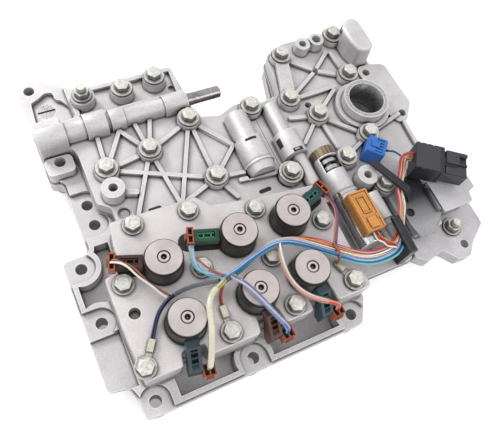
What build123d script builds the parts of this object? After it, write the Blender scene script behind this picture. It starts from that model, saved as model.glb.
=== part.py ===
from build123d import *
from math import atan2, cos, degrees, hypot, radians, sin, tan
import os

os.makedirs("parts", exist_ok=True)

# Transmission valve body, lying on the seating face of its lower casting.
# X runs along the manual valve, Y runs from the wiring side to the manual valve, Z is up.
# The origin lies on the seating face. All sizes are in millimetres.

# Levels above the seating face
flange_bottom = 12.0
flange_top = 22.0
seal_face = 26.0
separator_t = 2.0
deck = seal_face + separator_t
web_t = 12.0
rib_h = 3.5
boss_h = 6.0
plate_t = 22.0
web_top = deck + web_t
rib_top = web_top + rib_h
boss_top = web_top + boss_h
plate_top = deck + plate_t
bore_level = web_top + 4.0

# Walls, clearances and rounds
base_inset = 10.0
rim_t = 3.5
rim_gap = 1.5
pad_r = 10.5
pocket_floor = 14.0
rib_t = 3.0
gap = 0.3
running = 0.05
thread_gap = 0.02
spot_gap = 0.6

# Fasteners
bolt_d = 6.0
bolt_hole_d = 6.6
hex_af = 10.0
hex_h = 5.0
bolt_flange_t = 1.6
plate_bolt_flange_d = 14.4
casting_bolt_flange_d = 16.4
washer_d = 19.0
washer_t = 2.0
bolt_reach = 12.0
stud_d = 6.0
stud_rise = 11.0

# Bolt places
near_row_y = -112.5
plate_bolts = [
    (-130.5, near_row_y),
    (-71.5, near_row_y),
    (-23.5, near_row_y),
    (24.0, near_row_y),
    (-125.0, -56.5),
    (-105.0, -18.5),
    (-65.0, -21.5),
    (-72.5, -64.5),
    (-23.5, -75.0),
    (24.0, -63.0),
    (-19.0, -37.0),
]
bolt_left = (-106.5, 32.5)
bolt_valley = (-71.5, 38.0)
bolt_shaft = (-33.5, 54.5)
bolt_centre = (-33.0, 0.0)
bolt_back_left = (-71.5, 100.5)
bolt_back_right = (-43.5, 104.0)
upper_bolts = [bolt_left, bolt_valley, bolt_shaft, bolt_centre]
back_bolts = [bolt_back_left, bolt_back_right]
bolt_seam = (18.0, 49.0)
bolt_washer = (22.0, -17.0)
bolt_link = (52.5, 46.0)
bolt_fan = (69.0, 25.0)
bolt_window = (72.0, -19.0)
bolt_corner = (65.0, 88.5)
bolt_tower = (120.0, 95.5)
bolt_port = (113.5, 53.5)
bolt_sensor = (101.0, -5.5)
bolt_bracket = (90.0, -51.0)
intake_bolts = [
    bolt_seam,
    bolt_link,
    bolt_fan,
    bolt_window,
    bolt_corner,
    bolt_tower,
    bolt_port,
    bolt_sensor,
    bolt_bracket,
]
stud_back = (-102.5, 103.5)
stud_corner = (129.5, -101.0)

# Bolting flange of the lower casting
flange_hole_d = 8.5
case_boss_d = 18.0
tall_hole = (-135.1, 55.6)
tall_pad_top = 34.0
low_corner_top = 18.0
flange_row_y = -130.3
flange_row = [(-130.3, flange_row_y), (-58.4, flange_row_y), (22.5, flange_row_y)]
flange_holes = flange_row + [
    (-146.4, -26.0),
    (-145.7, -68.1),
    (-127.0, 3.5),
    (-127.2, 20.5),
    tall_hole,
    (-138.4, 133.0),
]

# Manual valve bore, sections from its blind end to its open end
valve_y = 72.0
valve_d = 10.2
valve_bore_d = valve_d + 2 * running
valve_blind_x = -142.0
valve_block_x = -146.0
valve_sections = [
    (-125.0, 20.6),
    (-110.0, 16.0),
    (-94.0, 20.0),
    (-91.0, 13.4),
    (-80.0, 17.0),
    (-48.0, 14.0),
    (-29.0, 16.5),
]
valve_mouth_x = valve_sections[-1][0]
valve_rest_gap = 14.0
valve_stick_out = 29.0
valve_end_l = 24.0
valve_end_d = 9.8
land_w = 9.0
stem_d = 6.5

# Stepped accumulator cylinders, measured from their back ends
acc_a_x = 2.5
acc_b_x = 33.0
acc_back_y = 45.0
acc_wall = 2.5
acc_a_small_d = 19.0
acc_a_large_d = 23.0
acc_a_step_y = 20.5
acc_a_end_y = -1.0
acc_a_cap_l = 8.5
cap_rim = 0.8
cap_rim_t = 1.8
cap_spigot_l = 3.0
acc_b_small_d = 13.0
acc_b_large_d = 21.0
acc_b_step_y = 16.0
acc_b_end_y = -5.0
acc_b_tail_d = 10.5
acc_b_tail_y = -33.2
acc_b_tail_shift = 2.4
acc_b_bore_d = 8.0
acc_b_blind_y = 0.0
plug_l = 6.0
piston_head_l = 12.0
piston_stem_l = 15.0
piston_wall = 2.2
piston_floor = 3.0
spring_wire = 1.4
spring_turns = 4.5
thin_wire = 1.0
relief_l = 22.0

# Regulator bore and line pressure solenoid
reg_x = 54.5
reg_d = 20.0
reg_bore_d = 15.0
reg_back_y = -15.0
adjuster_l = 8.0
adjuster_teeth = 18
spool_stroke = 2.0
reg_front_y = -47.5
window_back_y = -15.6
window_front_y = -28.5
window_w = 16.0
can_d = 22.0
can_l = 43.0
collar_d = 22.6
collar_l = 2.5
nose_l = 3.0
pressure_connector_w = 16.0
pressure_connector_l = 33.0
pressure_connector_top = 62.0

# Small bore beside the solenoid
small_bore_x = 75.0
small_bore_d = 12.0
small_bore_back_y = -55.0
small_bore_front_y = -78.0

# Pick-up port, tower and pump pad
port_centre = (111.0, 21.5)
port_d = 38.0
port_bore_d = 30.0
port_top = 54.0
port_step_d = 47.0
port_step_top = 45.0
tower_top = 62.0
tower_round = 3.5
pad_top = web_top + 2.0
pad_hole_d = 7.0

# Bosses with tapped holes
boss_hole_d = 6.8
boss_left = (-108.0, 13.3)
boss_back = (87.2, 92.0)
boss_back_open = (101.4, 93.1)
boss_right = (77.0, -41.5)
back_boss_d = 13.0
tall_boss_d = 16.5
tall_boss_top = 52.0

# Shift solenoids
solenoid_d = 26.5
solenoid_base_d = 28.0
solenoid_base_t = 3.0
solenoid_h = 16.0
cap_d = 25.0
cap_t = 2.5
cap_ring_d = 8.6
cap_hole_d = 3.2
arm_w = 9.0
arm_t = 7.0
arm_rail_w = 2.2
arm_channel_depth = 4.0
arm_drop = 16.0
arm_reach = 31.0
plug_w = 8.5
stem_seat_d = 12.0
stem_seat_l = 14.0
far_row_y = -53.5
near_solenoid_y = -96.0
plate_hole = (-124.8, -77.0)
plate_hole_d = 8.0

# Connector on its bracket
bracket_t = 2.0
bracket_arm_w = 6.0
bracket_arm_l = 42.0
bracket_arm_rise = 8.0
bracket_arm_z = 54.8
bracket_hole = (95.0, -81.0)
guide_w = 6.6
guide_beam_t = 4.0
guide_foot_l = 12.0
guide_top = 58.5
connector_turn = -34.0
connector_centre = (121.5, -51.0)
connector_body_l = 22.0
connector_body_w = 23.5
connector_bottom = 53.0
connector_top = 69.0
shroud_l = 20.0
shroud_wall = 1.6
bracket_z = boss_top
sensor_centre = (95.0, -22.5)
sensor_turn = -42.0
sensor_l = 15.5
sensor_w = 15.0
sensor_top = 56.0
sensor_rib_n = 5

# Harness
trunk_d = 6.0
branch_d = 4.4
lead_d = 3.2
ground_d = 2.6
terminal_t = 0.8
terminal_d = 12.0
terminal_reach = 10.0
barrel_l = 8.0
barrel_d = 4.2
ground_places = {(-130.5, near_row_y): 56.0, (-71.5, near_row_y): 87.0, (24.0, near_row_y): 111.0}

# Seams, bosses, plugs and galleries
seam_gap = 0.5
separator_lip = 0.8
corner_r = 4.0
boss_margin = 0.9
boss_hole_depth = 10.0
head_room = 14.0
strip_floor = 30.5
strip_wall_top = 34.0
strip_boss_top = 40.0
strip_hole = (-31.0, 95.5)
small_hole_d = 6.0
front_floor = 32.5
corner_t = 12.0
deck_lip_t = 4.0
seat_depth = 1.5
corner_hole = (132.5, -117.2)
slot_plug = (-130.6, 113.0)
slot_floor = 18.0
slot_plug_d = 14.0
slot_plug_t = 3.0
cup_plug_low = (-106.0, -3.0)
cup_plug_d = 11.0
cup_plug_t = 3.0
port_throat_d = 24.0
gallery_w = 9.0
gallery_depth = 8.0


def run(start, end, width):
    """A straight run with round ends between two points."""
    dx = end[0] - start[0]
    dy = end[1] - start[1]
    with Locations(((start[0] + end[0]) / 2, (start[1] + end[1]) / 2)):
        SlotCenterToCenter(hypot(dx, dy), width, rotation=degrees(atan2(dy, dx)))


def outline(points, corner):
    """A closed outline with rounded corners."""
    Polygon(*points, align=None)
    fillet(vertices(), corner)


def bore_plane(x, y, z):
    """A plane square to Y, facing the wiring side."""
    return Plane(origin=(x, y, z), x_dir=(1, 0, 0), z_dir=(0, -1, 0))


def along_y(x, z, back, front, diameter, mode=Mode.ADD):
    """A round bar or bore along Y."""
    with BuildSketch(bore_plane(x, back, z)) as section:
        Circle(diameter / 2)
    extrude(section.sketch, amount=back - front, mode=mode)


def along_x(y, z, left, right, diameter, mode=Mode.ADD):
    """A round bar or bore along X."""
    with BuildSketch(Plane(origin=(left, y, z), x_dir=(0, 1, 0), z_dir=(1, 0, 0))) as section:
        Circle(diameter / 2)
    extrude(section.sketch, amount=right - left, mode=mode)


def upright(places, bottom, top, diameter, mode=Mode.ADD):
    """Round posts or holes standing on the given level."""
    with BuildSketch(Plane.XY.offset(bottom)) as section:
        with Locations(*places):
            Circle(diameter / 2)
    extrude(section.sketch, amount=top - bottom, mode=mode)


def block(x_min, x_max, y_min, y_max, bottom, top, corner=0.0, mode=Mode.ADD):
    """An upright block between two levels."""
    with BuildSketch(Plane.XY.offset(bottom)) as section:
        with Locations(((x_min + x_max) / 2, (y_min + y_max) / 2)):
            Rectangle(x_max - x_min, y_max - y_min)
        if corner:
            fillet(vertices(), corner)
    extrude(section.sketch, amount=top - bottom, mode=mode)


def turned(centre, angle, forward, sideways):
    """A point at the given distances from a centre, along and across a direction."""
    ahead = radians(angle)
    x = centre[0] + forward * cos(ahead) - sideways * sin(ahead)
    y = centre[1] + forward * sin(ahead) + sideways * cos(ahead)
    return (x, y)


def turned_block(centre, angle, length, width, bottom, top, corner=0.0, mode=Mode.ADD):
    """An upright block turned about the vertical."""
    with BuildSketch(Plane.XY.offset(bottom)) as section:
        with Locations(centre):
            Rectangle(length, width, rotation=angle)
        if corner:
            fillet(vertices(), corner)
    extrude(section.sketch, amount=top - bottom, mode=mode)


def finish(piece, name):
    """Names a finished piece and writes it out."""
    piece.part.label = name
    export_step(piece.part, "parts/" + name + ".step")


# Outlines seen from above
flange_points = [
    (-147.0, 45.0),
    (-147.5, 142.0),
    (-130.0, 142.0),
    (-104.0, 122.5),
    (-58.0, 119.0),
    (-36.0, 120.0),
    (-21.0, 118.0),
    (-20.0, 86.0),
    (-27.0, 58.0),
    (20.0, 56.0),
    (45.0, 52.0),
    (57.0, 97.0),
    (74.0, 101.0),
    (127.0, 101.0),
    (140.0, 90.0),
    (139.0, 57.0),
    (152.0, 54.0),
    (153.0, 14.0),
    (139.0, -3.0),
    (138.0, -60.0),
    (147.0, -64.0),
    (154.0, -92.0),
    (154.0, -104.0),
    (131.0, -116.0),
    (96.0, -109.0),
    (38.0, -109.0),
    (38.0, -123.0),
    (28.0, -139.5),
    (-139.5, -139.5),
    (-139.8, -126.0),
    (-144.0, -115.0),
    (-157.0, -113.0),
    (-157.5, -17.0),
    (-138.0, -16.5),
    (-138.0, 43.5),
]
back_pocket_points = [
    (-142.5, 90.0),
    (-140.2, 121.3),
    (-133.3, 124.3),
    (-127.8, 127.9),
    (-121.7, 127.1),
    (-121.4, 119.3),
    (-117.5, 117.5),
    (-113.0, 110.0),
    (-113.0, 90.5),
]
plate_points = [
    (-119.0, -10.5),
    (-56.0, -12.5),
    (-48.0, -22.0),
    (-22.0, -27.0),
    (35.0, -34.0),
    (35.0, -120.5),
    (7.0, -120.5),
    (5.5, -103.0),
    (-10.5, -103.0),
    (-12.5, -120.5),
    (-34.0, -120.5),
    (-36.0, -108.5),
    (-51.0, -108.5),
    (-53.0, -120.5),
    (-89.0, -120.5),
    (-91.0, -112.0),
    (-106.0, -112.0),
    (-108.0, -120.5),
    (-133.0, -120.5),
    (-135.0, -84.0),
    (-135.0, -48.0),
    (-122.0, -46.0),
    (-122.0, -28.0),
]
ribbed_points = [
    (-146.0, 61.7),
    (-124.0, 61.7),
    (-121.5, 54.0),
    (-121.5, 11.0),
    (-113.0, 4.0),
    (-113.0, -30.0),
    (19.0, -50.0),
    (19.0, 57.5),
    (8.0, 58.5),
    (-7.0, 52.5),
    (-26.0, 57.0),
    (-26.0, 86.0),
    (-24.5, 113.5),
    (-36.0, 115.0),
    (-58.0, 114.0),
    (-96.0, 114.4),
    (-112.0, 110.0),
    (-112.0, 90.0),
    (-146.0, 87.0),
]
intake_points = [
    (19.0 + seam_gap, -50.0),
    (35.0 + seam_gap, -50.0),
    (35.0 + seam_gap, -112.0),
    (86.0, -112.0),
    (90.0, -80.0),
    (104.0, -61.0 + seam_gap),
    (137.0, -61.0 + seam_gap),
    (141.0, -26.0),
    (142.0, -4.0),
    (151.0, 6.0),
    (157.0, 12.0),
    (155.0, 57.0),
    (142.0, 60.0),
    (143.0, 92.0),
    (128.0, 104.0),
    (74.0, 104.0),
    (56.0, 96.0),
    (49.0, 56.0),
    (28.0, 53.0),
    (19.0 + seam_gap, 57.5),
]
corner_points = [
    (88.0, -112.0),
    (96.0, -119.0),
    (112.0, -115.0),
    (121.0, -126.5),
    (132.0, -127.5),
    (140.0, -119.0),
    (157.5, -107.0),
    (157.5, -90.0),
    (150.0, -78.0),
    (150.0, -61.0),
    (105.0, -61.0),
    (91.0, -80.0),
]
deck_plate_points = [
    (121.0, -91.0),
    (149.0, -91.0),
    (150.5, -83.0),
    (157.5, -81.0),
    (157.5, -63.0),
    (121.0, -63.0),
]
bracket_bed_points = [
    (94.0, -98.0),
    (116.0, -98.0),
    (118.0, -63.0),
    (106.0, -63.0),
    (96.0, -77.0),
]
gallery_runs = [
    ((-118.0, 96.0), (-60.0, 96.0)),
    ((-60.0, 96.0), (-40.0, 70.0)),
    ((-118.0, 78.0), (-72.0, 78.0)),
    ((-118.0, 60.0), (-60.0, 58.0)),
    ((-60.0, 58.0), (-44.0, 36.0)),
    ((-108.0, 40.0), (-66.0, 40.0)),
    ((-108.0, 20.0), (-40.0, 18.0)),
    ((-108.0, 0.0), (-60.0, -2.0)),
    ((-125.0, -30.0), (-60.0, -24.0)),
    ((-60.0, -24.0), (-28.0, -2.0)),
    ((-125.0, -50.0), (-30.0, -44.0)),
    ((-125.0, -70.0), (-20.0, -64.0)),
    ((-20.0, -64.0), (14.0, -30.0)),
    ((-125.0, -92.0), (-10.0, -86.0)),
    ((-110.0, -114.0), (8.0, -110.0)),
    ((8.0, -84.0), (40.0, -52.0)),
    ((24.0, -92.0), (80.0, -92.0)),
    ((60.0, -70.0), (96.0, -40.0)),
    ((40.0, -24.0), (84.0, -14.0)),
    ((40.0, 0.0), (80.0, 6.0)),
    ((-16.0, 42.0), (30.0, 38.0)),
    ((60.0, 32.0), (76.0, 66.0)),
    ((92.0, 74.0), (124.0, 76.0)),
    ((110.0, -20.0), (120.0, -48.0)),
]


def grown(points, corner, amount):
    """The same outline, larger by the given margin."""
    with BuildSketch() as shape:
        outline(points, corner)
        offset(amount=amount)
    return shape.sketch


def bosses(places, flange_d):
    """Posts under bolt heads, standing on the web."""
    upright(places, web_top, boss_top, flange_d + 2 * boss_margin)


def bolt_seats(places, flange_d, seat):
    """Clearance holes down through a piece, with room for the heads above the seat."""
    upright(places, deck, seat, bolt_hole_d, Mode.SUBTRACT)
    upright(places, seat, seat + head_room, flange_d + 2 * spot_gap, Mode.SUBTRACT)


def saddle(x, half_width, back, front):
    """The cast wall that carries a round cylinder along Y."""
    block(x - half_width, x + half_width, front, back, deck, bore_level)


# Lower casting with bolting flange, rim, wiring pockets and oil galleries
with BuildPart() as main_casting:
    with BuildSketch():
        outline(flange_points, corner_r)
        offset(amount=-base_inset)
    extrude(amount=flange_bottom)
    upright(flange_holes, 0.0, flange_bottom, case_boss_d)
    with BuildSketch(Plane.XY.offset(flange_bottom)):
        outline(flange_points, corner_r)
    extrude(amount=flange_top - flange_bottom)
    block(-161.0, -136.5, -118.0, -77.5, low_corner_top, flange_top, mode=Mode.SUBTRACT)
    block(-146.0, -125.5, 45.5, 60.5, flange_top, tall_pad_top, corner_r)
    with BuildSketch(Plane.XY.offset(flange_top)):
        outline(flange_points, corner_r)
        offset(amount=-rim_gap)
        with Locations(*flange_holes):
            Circle(pad_r, mode=Mode.SUBTRACT)
        for x, y in flange_row:
            with Locations((x, y - pad_r)):
                Rectangle(2 * pad_r, 2 * pad_r, mode=Mode.SUBTRACT)
        for x, y in flange_holes[3:8]:
            with Locations((x - pad_r, y)):
                Rectangle(2 * pad_r, 2 * pad_r, mode=Mode.SUBTRACT)
        with Locations((-133.0, 118.0)):
            Rectangle(40.8, 59.0, mode=Mode.SUBTRACT)
        with Locations((-148.5, -97.0)):
            Rectangle(24.0, 40.0, mode=Mode.SUBTRACT)
        add(grown(corner_points, corner_r, seam_gap), mode=Mode.SUBTRACT)
    extrude(amount=seal_face - flange_top)
    with BuildSketch(Plane.XY.offset(pocket_floor)):
        outline(flange_points, corner_r)
        offset(amount=-rim_gap - rim_t)
        with Locations(*flange_holes):
            Circle(pad_r + rim_t, mode=Mode.SUBTRACT)
        with BuildSketch(mode=Mode.PRIVATE) as pocket_zones:
            with Locations((-140.0, -35.0)):
                Rectangle(34.0, 42.0)
            with Locations((-50.0, -126.0)):
                Rectangle(128.0, 26.0)
        add(pocket_zones.sketch, mode=Mode.INTERSECT)
    extrude(amount=seal_face - pocket_floor, mode=Mode.SUBTRACT)
    with BuildSketch(Plane.XY.offset(slot_floor)):
        outline(back_pocket_points, 3.0)
    extrude(amount=seal_face - slot_floor, mode=Mode.SUBTRACT)
    upright(flange_holes, 0.0, flange_top, flange_hole_d, Mode.SUBTRACT)
    upright([tall_hole], flange_top, tall_pad_top, flange_hole_d, Mode.SUBTRACT)
    tapped = plate_bolts + upper_bolts + back_bolts + intake_bolts + [bolt_washer, stud_back]
    upright(tapped, seal_face - bolt_reach, seal_face, bolt_d + 2 * thread_gap, Mode.SUBTRACT)
    upright([stud_corner], flange_top - bolt_reach, flange_top, bolt_d + 2 * thread_gap, Mode.SUBTRACT)
    upright([slot_plug], slot_floor - slot_plug_t, slot_floor, slot_plug_d, Mode.SUBTRACT)
    upright([port_centre], 0.0, seal_face, port_throat_d, Mode.SUBTRACT)
    with BuildSketch():
        for start, end in gallery_runs:
            run(start, end, gallery_w)
    extrude(amount=gallery_depth, mode=Mode.SUBTRACT)
finish(main_casting, "main_casting")

# Separator plate between the castings
with BuildPart() as separator_plate:
    with BuildSketch(Plane.XY.offset(seal_face)):
        add(grown(plate_points, corner_r, separator_lip))
        add(grown(ribbed_points, corner_r, separator_lip))
        add(grown(intake_points, corner_r, separator_lip))
        add(grown(corner_points, corner_r, 2 * seam_gap), mode=Mode.SUBTRACT)
        with Locations(*tapped):
            Circle(bolt_hole_d / 2, mode=Mode.SUBTRACT)
        with Locations(port_centre):
            Circle(port_throat_d / 2, mode=Mode.SUBTRACT)
    extrude(amount=separator_t)
finish(separator_plate, "separator_plate")

# Ribbed upper casting with the manual valve bore and the first accumulator
rib_node = (-87.0, 62.0)
rib_lines = [
    (bolt_valley, bolt_shaft),
    (bolt_valley, bolt_left),
    (bolt_valley, rib_node),
    (rib_node, bolt_left),
    (bolt_valley, (-62.0, 64.0)),
    (bolt_valley, (-74.0, 64.0)),
    (bolt_left, (-104.0, 64.0)),
    (bolt_shaft, bolt_centre),
    (bolt_shaft, (-65.0, -12.0)),
    (bolt_shaft, (-9.0, 22.0)),
    (bolt_centre, (-9.0, 22.0)),
    (bolt_left, bolt_centre),
    (bolt_centre, (-8.0, -3.0)),
    (bolt_centre, (-60.0, -10.0)),
    (bolt_centre, (-24.0, -20.0)),
    (bolt_valley, (-97.0, -8.0)),
    (bolt_valley, (-66.0, -10.0)),
    ((-16.0, -8.0), (17.0, -12.0)),
]
with BuildPart() as upper_casting:
    with BuildSketch(Plane.XY.offset(deck)):
        outline(ribbed_points, corner_r)
        add(grown(plate_points, corner_r, seam_gap), mode=Mode.SUBTRACT)
    extrude(amount=web_t)
    with BuildSketch(Plane.XY.offset(strip_floor)):
        outline(ribbed_points, corner_r)
        offset(amount=-rim_t)
        with BuildSketch(mode=Mode.PRIVATE) as strip_zone:
            with Locations((-66.0, 104.0)):
                Rectangle(92.0, 38.0)
        add(strip_zone.sketch, mode=Mode.INTERSECT)
    extrude(amount=web_top - strip_floor, mode=Mode.SUBTRACT)
    block(-150.0, -10.0, 85.0, 130.0, strip_wall_top, web_top, mode=Mode.SUBTRACT)
    back_boss_places = back_bolts + [stud_back]
    upright(back_boss_places, strip_floor, strip_boss_top, casting_bolt_flange_d + 2 * boss_margin)
    with BuildSketch(Plane.XY.offset(web_top)):
        for start, end in rib_lines:
            run(start, end, rib_t)
        add(grown(plate_points, corner_r, seam_gap), mode=Mode.SUBTRACT)
    extrude(amount=rib_h)
    bosses(upper_bolts, casting_bolt_flange_d)
    left = valve_block_x
    for right, diameter in valve_sections:
        along_x(valve_y, bore_level, left, right, diameter)
        block(left, right, valve_y - diameter / 2, valve_y + diameter / 2, deck, bore_level)
        left = right
    block(valve_block_x, -127.0, valve_y - 2.0, valve_y + 8.0, deck, bore_level + 10.0, 1.5)
    along_y(acc_a_x, bore_level, acc_back_y, acc_a_step_y, acc_a_small_d)
    saddle(acc_a_x, acc_a_small_d / 2, acc_back_y, acc_a_step_y)
    along_y(acc_a_x, bore_level, acc_a_step_y, acc_a_end_y, acc_a_large_d)
    saddle(acc_a_x, acc_a_large_d / 2, acc_a_step_y, acc_a_end_y)
    upright([boss_left], web_top, tall_boss_top, tall_boss_d)
    with BuildSketch(Plane.XY.offset(web_top)):
        run(boss_left, turned(boss_left, -20.0, 16.0, 0.0), 4.0)
    extrude(amount=rib_h + 2.0)
    bolt_seats(upper_bolts, casting_bolt_flange_d, boss_top)
    bolt_seats(back_boss_places, casting_bolt_flange_d, strip_boss_top)
    upright([strip_hole], deck, strip_floor, small_hole_d, Mode.SUBTRACT)
    upright([bolt_seam, bolt_washer], deck, boss_top + head_room, washer_d + 2 * spot_gap, Mode.SUBTRACT)
    upright([boss_left], tall_boss_top - boss_hole_depth, tall_boss_top, boss_hole_d, Mode.SUBTRACT)
    upright([cup_plug_low], web_top - cup_plug_t, web_top, cup_plug_d, Mode.SUBTRACT)
    along_x(valve_y, bore_level, valve_blind_x, valve_mouth_x, valve_bore_d, Mode.SUBTRACT)
    along_x(valve_y, bore_level, valve_mouth_x, valve_mouth_x + land_w, valve_d + 4 * gap, Mode.SUBTRACT)
    cap_room_d = acc_a_large_d + 2 * cap_rim + 2 * gap
    along_y(acc_a_x, bore_level, acc_a_end_y, acc_a_end_y - acc_a_cap_l - gap, cap_room_d, Mode.SUBTRACT)
    along_y(acc_a_x, bore_level, acc_back_y, acc_a_step_y, acc_a_small_d - 2 * acc_wall, Mode.SUBTRACT)
    along_y(acc_a_x, bore_level, acc_a_step_y, acc_a_end_y, acc_a_large_d - 2 * acc_wall, Mode.SUBTRACT)
finish(upper_casting, "upper_casting")

# Intake casting with pick-up port, tower, pump pad, second accumulator and regulator bore
pad_points = [
    (126.0, 60.0),
    (142.0, 59.0),
    (154.0, 56.0),
    (156.0, 12.0),
    (151.0, 6.0),
    (144.0, -3.0),
    (137.0, -4.0),
    (132.0, 3.0),
    (128.0, 14.0),
]
tower_points = [
    (121.0, 90.0),
    (121.0, 74.0),
    (125.0, 62.0),
    (137.0, 60.0),
    (142.0, 66.0),
    (142.0, 92.0),
    (138.0, 99.0),
    (129.0, 99.0),
]
port_hole = (88.6, 67.0)
intake_ribs = [
    (bolt_port, port_hole),
    (bolt_corner, port_hole),
    (port_hole, (107.5, 82.0)),
    (port_hole, (60.0, 50.0)),
    ((111.0, 80.0), bolt_port),
    (bolt_link, (97.0, 47.0)),
    (bolt_fan, (95.0, 44.0)),
    (bolt_fan, (46.0, 30.0)),
    (bolt_fan, (47.0, 5.0)),
    (bolt_fan, bolt_window),
    (bolt_fan, bolt_sensor),
    (bolt_sensor, bolt_window),
    (bolt_sensor, (138.0, 4.0)),
]
with BuildPart() as intake_casting:
    with BuildSketch(Plane.XY.offset(deck)):
        outline(intake_points, corner_r)
        add(grown(plate_points, corner_r, seam_gap), mode=Mode.SUBTRACT)
    extrude(amount=web_t)
    block(35.0, 90.0, -115.0, reg_front_y, front_floor, web_top, mode=Mode.SUBTRACT)
    with BuildSketch(Plane.XY.offset(web_top)):
        for start, end in intake_ribs:
            run(start, end, rib_t)
    extrude(amount=rib_h)
    with BuildSketch(Plane.XY.offset(web_top)):
        run(bolt_corner, bolt_link, 11.0)
    extrude(amount=boss_h)
    with BuildSketch(Plane.XY.offset(web_top)):
        run((139.0, -5.0), (138.0, -26.0), rib_t)
    extrude(amount=rib_h)
    bosses(intake_bolts + [bolt_washer], casting_bolt_flange_d)
    with BuildSketch(Plane.XY.offset(web_top)):
        outline(pad_points, 6.0)
    extrude(amount=pad_top - web_top)
    with BuildSketch(Plane.XY.offset(web_top)):
        outline(tower_points, 6.0)
    extrude(amount=tower_top - web_top, taper=3.0)
    fillet(faces().sort_by(Axis.Z)[-1].edges(), tower_round)
    upright([port_centre], web_top, port_step_top, port_step_d)
    upright([port_centre], port_step_top, port_top, port_d)
    upright([boss_back, boss_back_open], web_top, plate_top, back_boss_d)
    with BuildSketch(Plane.XY.offset(web_top)):
        run(boss_back, boss_back_open, back_boss_d / 2)
    extrude(amount=plate_top - web_top - 2.0)
    upright([boss_right], web_top, tall_boss_top, tall_boss_d)
    along_y(acc_b_x, bore_level, acc_back_y, acc_b_step_y, acc_b_small_d)
    saddle(acc_b_x, acc_b_small_d / 2, acc_back_y, acc_b_step_y)
    along_y(acc_b_x, bore_level, acc_b_step_y, acc_b_end_y, acc_b_large_d)
    saddle(acc_b_x, acc_b_large_d / 2, acc_b_step_y, acc_b_end_y)
    along_y(acc_b_x + acc_b_tail_shift, bore_level, acc_b_end_y, acc_b_tail_y, acc_b_tail_d)
    along_y(reg_x, bore_level, reg_back_y, reg_front_y, reg_d)
    saddle(reg_x, reg_d / 2, reg_back_y, reg_front_y)
    along_y(small_bore_x, bore_level, small_bore_back_y, small_bore_front_y, small_bore_d)
    saddle(small_bore_x, small_bore_d / 2, small_bore_back_y, small_bore_front_y)
    bolt_seats(intake_bolts, casting_bolt_flange_d, boss_top)
    bolt_seats([bolt_washer], washer_d, boss_top)
    upright([port_centre], deck, port_top, port_bore_d, Mode.SUBTRACT)
    upright([boss_back, boss_right], plate_top - boss_hole_depth, tall_boss_top, boss_hole_d, Mode.SUBTRACT)
    upright([boss_back_open], web_top - 6.0, plate_top, 8.0, Mode.SUBTRACT)
    upright([(133.0, 52.0), (142.9, 4.5)], deck, pad_top, pad_hole_d, Mode.SUBTRACT)
    upright([port_hole, (67.9, 38.5)], web_top - 6.0, rib_top, small_hole_d, Mode.SUBTRACT)
    along_y(acc_b_x, bore_level, acc_back_y, acc_b_blind_y, acc_b_bore_d, Mode.SUBTRACT)
    along_y(reg_x, bore_level, reg_back_y, reg_front_y, reg_bore_d, Mode.SUBTRACT)
    along_y(reg_x, bore_level, reg_back_y + adjuster_l + gap, reg_back_y, reg_d, Mode.SUBTRACT)
    block(
        reg_x - window_w / 2,
        reg_x + window_w / 2,
        window_front_y,
        window_back_y,
        bore_level + 2.0,
        bore_level + reg_d,
        mode=Mode.SUBTRACT,
    )
finish(intake_casting, "intake_casting")

# Solenoid plate
solenoid_places = [
    (-96.2, far_row_y),
    (-41.6, far_row_y),
    (0.2, far_row_y),
    (-96.9, near_solenoid_y),
    (-45.5, near_solenoid_y),
    (-6.3, near_solenoid_y),
]
with BuildPart() as solenoid_plate:
    with BuildSketch(Plane.XY.offset(deck)):
        outline(plate_points, 2.5)
    extrude(amount=plate_t)
    top_edges = faces().sort_by(Axis.Z)[-1].edges()
    chamfer(top_edges, 0.8)
    upright(solenoid_places, plate_top - seat_depth, plate_top, solenoid_base_d + gap, Mode.SUBTRACT)
    stem_seat_bottom = plate_top - seat_depth - stem_seat_l
    upright(solenoid_places, stem_seat_bottom, plate_top, stem_seat_d + 2 * running, Mode.SUBTRACT)
    upright([plate_hole], plate_top - boss_hole_depth, plate_top, plate_hole_d, Mode.SUBTRACT)
    upright(plate_bolts, deck, plate_top, bolt_hole_d, Mode.SUBTRACT)
finish(solenoid_plate, "solenoid_plate")

# Corner casting with its raised deck
with BuildPart() as corner_casting:
    with BuildSketch(Plane.XY.offset(flange_top)):
        outline(corner_points, 3.0)
    extrude(amount=corner_t)
    with BuildSketch(Plane.XY.offset(flange_top + corner_t)):
        outline(deck_plate_points, 2.0)
        offset(amount=-3.0)
    extrude(amount=plate_top - deck_lip_t - flange_top - corner_t)
    with BuildSketch(Plane.XY.offset(plate_top - deck_lip_t)):
        outline(deck_plate_points, 2.0)
    extrude(amount=deck_lip_t)
    with BuildSketch(Plane.XY.offset(flange_top + corner_t)):
        outline(bracket_bed_points, 2.0)
    extrude(amount=boss_top - flange_top - corner_t)
    upright([stud_corner], flange_top, flange_top + corner_t, bolt_hole_d, Mode.SUBTRACT)
    upright([corner_hole], flange_top, flange_top + corner_t, pad_hole_d, Mode.SUBTRACT)
finish(corner_casting, "corner_casting")

# Manual valve: spool with its lands and the plain end that stands out of the bore
valve_steps = [(9.0, valve_d), (11.0, stem_d), (9.0, valve_d), (13.0, stem_d), (9.0, valve_d), (15.0, stem_d)]
with BuildPart() as manual_valve:
    left = valve_blind_x + valve_rest_gap
    for length, diameter in valve_steps:
        along_x(valve_y, bore_level, left, left + length, diameter)
        left += length
    valve_end_x = valve_mouth_x + valve_stick_out
    along_x(valve_y, bore_level, left, valve_end_x - valve_end_l, valve_d)
    along_x(valve_y, bore_level, valve_end_x - valve_end_l, valve_end_x, valve_end_d)
    chamfer(faces().sort_by(Axis.X)[-1].edges(), 0.8)
finish(manual_valve, "manual_valve")


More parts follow.
